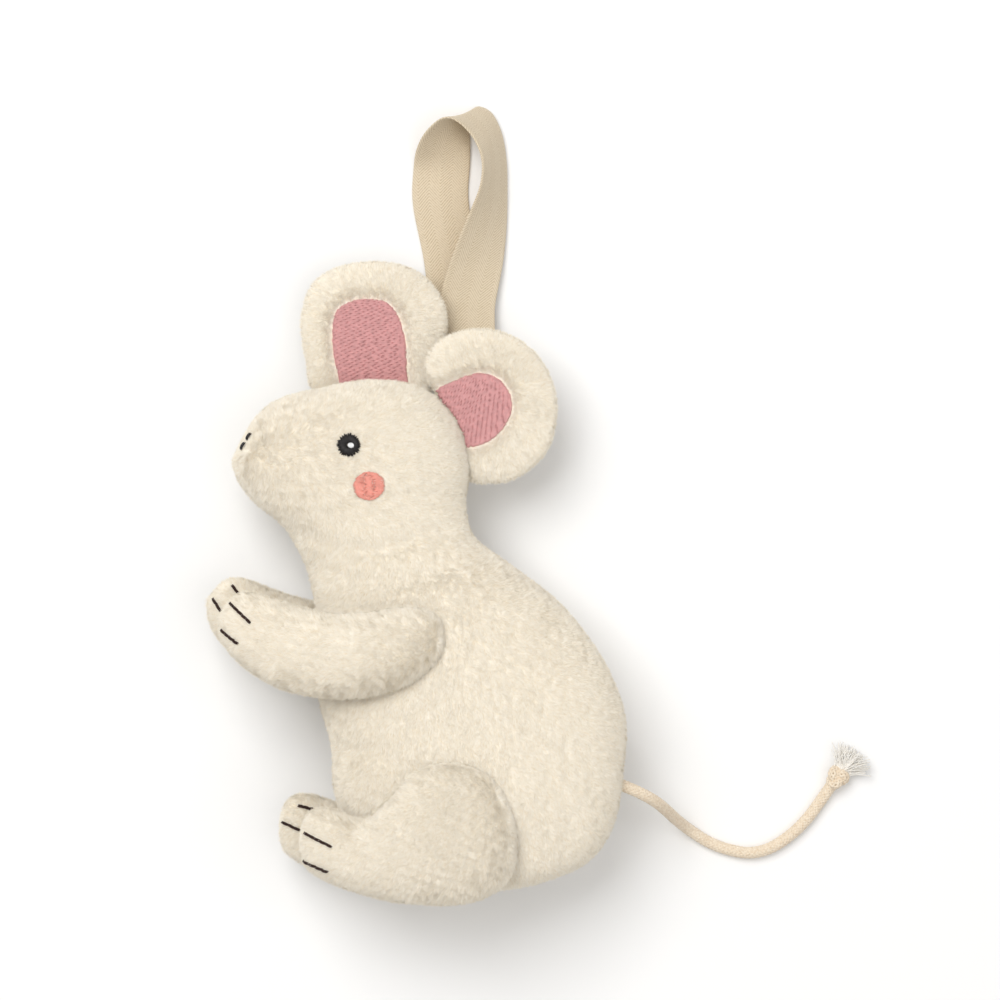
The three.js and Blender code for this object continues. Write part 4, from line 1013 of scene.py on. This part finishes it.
# Hanging loop: one strip of unbleached herringbone cotton tape, doubled over and sewn into the head's
# seam behind the ears. It stands half on its right edge, so both its faces show. Its rows are the
# strip's left and right edges, from its lower sewn end round to the upper one.
TAPE_WIDTH, TAPE_THICKNESS = 19.0, 1.0
LOOP_EDGES = [
    (9.5, 30, -16.5, 28.5, 30, -16.5), (7.5, 44, -26, 26.5, 44, -25.8),
    (5, 60, -30.4, 23.6, 60, -30.4), (3, 80, -33, 21.5, 80, -33),
    (-1.2, 100, -33.1, 18, 100, -33.1), (-0.8, 112.7, -32.6, 18, 111, -33),
    (1.7, 121, -24.4, 18, 119.3, -32.5), (7, 127, -17.8, 18, 125.3, -32.5),
    (11.3, 128.3, -15.8, 18.7, 130.3, -32.5), (15.3, 126.3, -16.2, 21, 133.2, -32.5),
    (19, 122.3, -17.2, 25.7, 131, -32.5), (21.7, 117.3, -16.8, 29, 124, -32.5),
    (22.7, 111.7, -16.2, 30.5, 114.3, -32.5), (21.7, 104.7, -16.4, 30.8, 104.7, -32.5),
    (18.7, 97.3, -18.4, 30.7, 94.7, -32.5), (14.7, 88, -21.4, 30, 84.7, -32),
    (11, 78, -24.8, 28.7, 76, -31), (8.6, 69.3, -26.8, 26.8, 66, -30),
    (8, 60, -27.6, 26.5, 59.3, -28.2), (8.3, 44, -24.2, 27.3, 44, -23.8),
    (9.5, 30, -14.9, 28.5, 30, -14.9),
]
TWILL_PITCH, TWILL_BAND = 1.05, 3.75


def twill_tape(name):
    """Herringbone cotton: ribs that turn back at each band, coloured darker in the furrows as painted
    shade, on a whole tone also set darker as painted shade.
    """
    material = new_finish(name, {"Roughness": 0.9, "Sheen Weight": 0.2, "Specular IOR Level": 0.15})
    nodes, links = material.node_tree.nodes, material.node_tree.links
    rib = nodes.new("ShaderNodeAttribute")
    rib.attribute_name = "rib"
    fuzz = grain_in(material, 1400, detail=5)
    fuzz_part, pattern = nodes.new("ShaderNodeMath"), nodes.new("ShaderNodeMath")
    fuzz_part.operation, pattern.operation = "MULTIPLY", "MULTIPLY_ADD"
    fuzz_part.inputs[1].default_value = 0.4
    pattern.inputs[1].default_value = 0.6
    links.new(fuzz, fuzz_part.inputs[0])
    links.new(rib.outputs["Fac"], pattern.inputs[0])
    links.new(fuzz_part.outputs["Value"], pattern.inputs[2])
    # Painted shade: the colour darkens in the furrows of the ribs, and the whole tape is toned darker than
    # the cotton; the fuzz grain mixed in is the yarn's own unevenness.
    colour_by(material, pattern.outputs["Value"], (0.45, 0.34, 0.21), (0.72, 0.62, 0.47), 0.12, 0.55)
    raise_by(material, fuzz, 0.5, 0.0001)
    return material


loop_edges = curve_through(LOOP_EDGES, 900)
loop_path = (loop_edges[:, :3] + loop_edges[:, 3:]) / 2
loop_along = unit(np.gradient(loop_path, axis=0))
loop_across = unit(loop_edges[:, 3:] - loop_edges[:, :3])
loop_up = unit(np.cross(loop_across, loop_along))
loop_gone = length_along(loop_path)
across_steps = 78
width_at = np.linspace(-0.5, 0.5, across_steps) * TAPE_WIDTH
band = np.abs(((width_at / TWILL_BAND + 8) % 2) - 1) * TWILL_BAND
rib = 0.5 + 0.5 * np.sin(2 * np.pi * (loop_gone[:, None] + 1.1 * band[None, :]) / TWILL_PITCH)
selvedge = np.clip((np.abs(width_at) - TAPE_WIDTH * 0.46) / (TAPE_WIDTH * 0.04), 0, 1)
relief = 0.13 * rib * (1 - selvedge) - 0.25 * selvedge**2
faces_of_tape = []
for face_side in (1, -1):
    offset = face_side * (TAPE_THICKNESS / 2 - 0.12 + relief)
    faces_of_tape.append(loop_path[:, None, :] + loop_across[:, None, :] * width_at[None, :, None]
                         + loop_up[:, None, :] * offset[..., None])
tape_ring = np.concatenate([faces_of_tape[0], faces_of_tape[1][:, ::-1]], axis=1)
around_tape = 2 * across_steps
tape_faces = ring_faces(len(loop_path), around_tape)
last_row = (len(loop_path) - 1) * around_tape
tape_faces += [tuple(range(around_tape))[::-1], tuple(last_row + k for k in range(around_tape))]
herringbone = twill_tape("herringbone_tape")
tape = add_piece("hang_loop_tape", from_drawing(tape_ring.reshape(-1, 3)), tape_faces, herringbone)
fix_facing(tape)
rib_layer = tape.data.attributes.new("rib", "FLOAT", "POINT")
both_faces = np.concatenate([rib, rib[:, ::-1]], axis=1)
rib_layer.data.foreach_set("value", both_faces.ravel().astype(np.float32))
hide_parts("hang_loop")
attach(tape, "loop")


# Musical movement: brass plate and wheels, steel comb and springs, nylon drum and fan, all in a
# plastic case that lies loose in the filling of the belly.
def worked_metal(name, colour, roughness, grain):
    """Turned or stamped metal with fine tool marks and a slight tarnish."""
    material = new_finish(name, {"Metallic": 1.0})
    tarnish = grain_in(material, 120, detail=6)
    colour_by(material, tarnish, [c * 0.72 for c in colour], colour, 0.3, 0.62)
    marks = grain_in(material, grain)
    roughen_by(material, marks, roughness - 0.08, roughness + 0.12)
    raise_by(material, marks, 0.2, 0.00005)
    return material


def moulded_plastic(name, colour, roughness):
    """Moulded plastic with a fine spark-eroded grain and faint flow marks."""
    material = new_finish(name, {"IOR": 1.5})
    colour_by(material, grain_in(material, 60, distortion=1.5), [c * 0.93 for c in colour], colour)
    grain = grain_in(material, 3000)
    roughen_by(material, grain, roughness - 0.08, roughness + 0.1)
    raise_by(material, grain, 0.25, 0.00005)
    return material


movement_finish = {
    "brass": worked_metal("stamped_brass", (0.80, 0.58, 0.26), 0.32, 2500),
    "steel": worked_metal("spring_steel", (0.62, 0.63, 0.66), 0.28, 3500),
    "case_plastic": moulded_plastic("case_plastic", (0.87, 0.85, 0.79), 0.45),
    "nylon": moulded_plastic("drum_nylon", (0.90, 0.90, 0.88), 0.38),
}
for row in frame["record"]["subparts"]:
    finish = movement_finish.get(row["material_slot"])
    if finish:
        refinish(row["node"], finish)


# Table and light: a plain white sheet of card under the toy and two large soft lights over it.
def light_panel(name, place, size, power):
    """A square soft light aimed at the toy."""
    panel = bpy.data.lights.new(name, "AREA")
    panel.shape = "SQUARE"
    panel.size = size
    panel.energy = power
    lamp = bpy.data.objects.new(name, panel)
    lamp.location = place
    lamp.rotation_euler = (Vector((0, 0, 0.03)) - Vector(place)).to_track_quat("-Z", "Y").to_euler()
    bpy.context.scene.collection.objects.link(lamp)


card = new_finish("white_card", {"Base Color": (0.93, 0.93, 0.93, 1), "Roughness": 0.9})
table = add_piece("table_top", [(-4, -4, 0), (4, -4, 0), (4, 4, 0), (-4, 4, 0)], [(0, 1, 2, 3)], card,
                  smooth=False)
light_panel("window_light", (-0.45, 0.6, 1.5), 1.0, 17.8)
light_panel("fill_light", (0.6, -0.3, 1.6), 1.4, 6.6)
world = bpy.data.worlds.new("room")
bpy.context.scene.world = world
world.use_nodes = True
daylight = world.node_tree.nodes["Background"].inputs
daylight["Color"].default_value = (1, 0.98, 0.95, 1)
daylight["Strength"].default_value = 0.475
bpy.context.scene.view_settings.view_transform = "Standard"
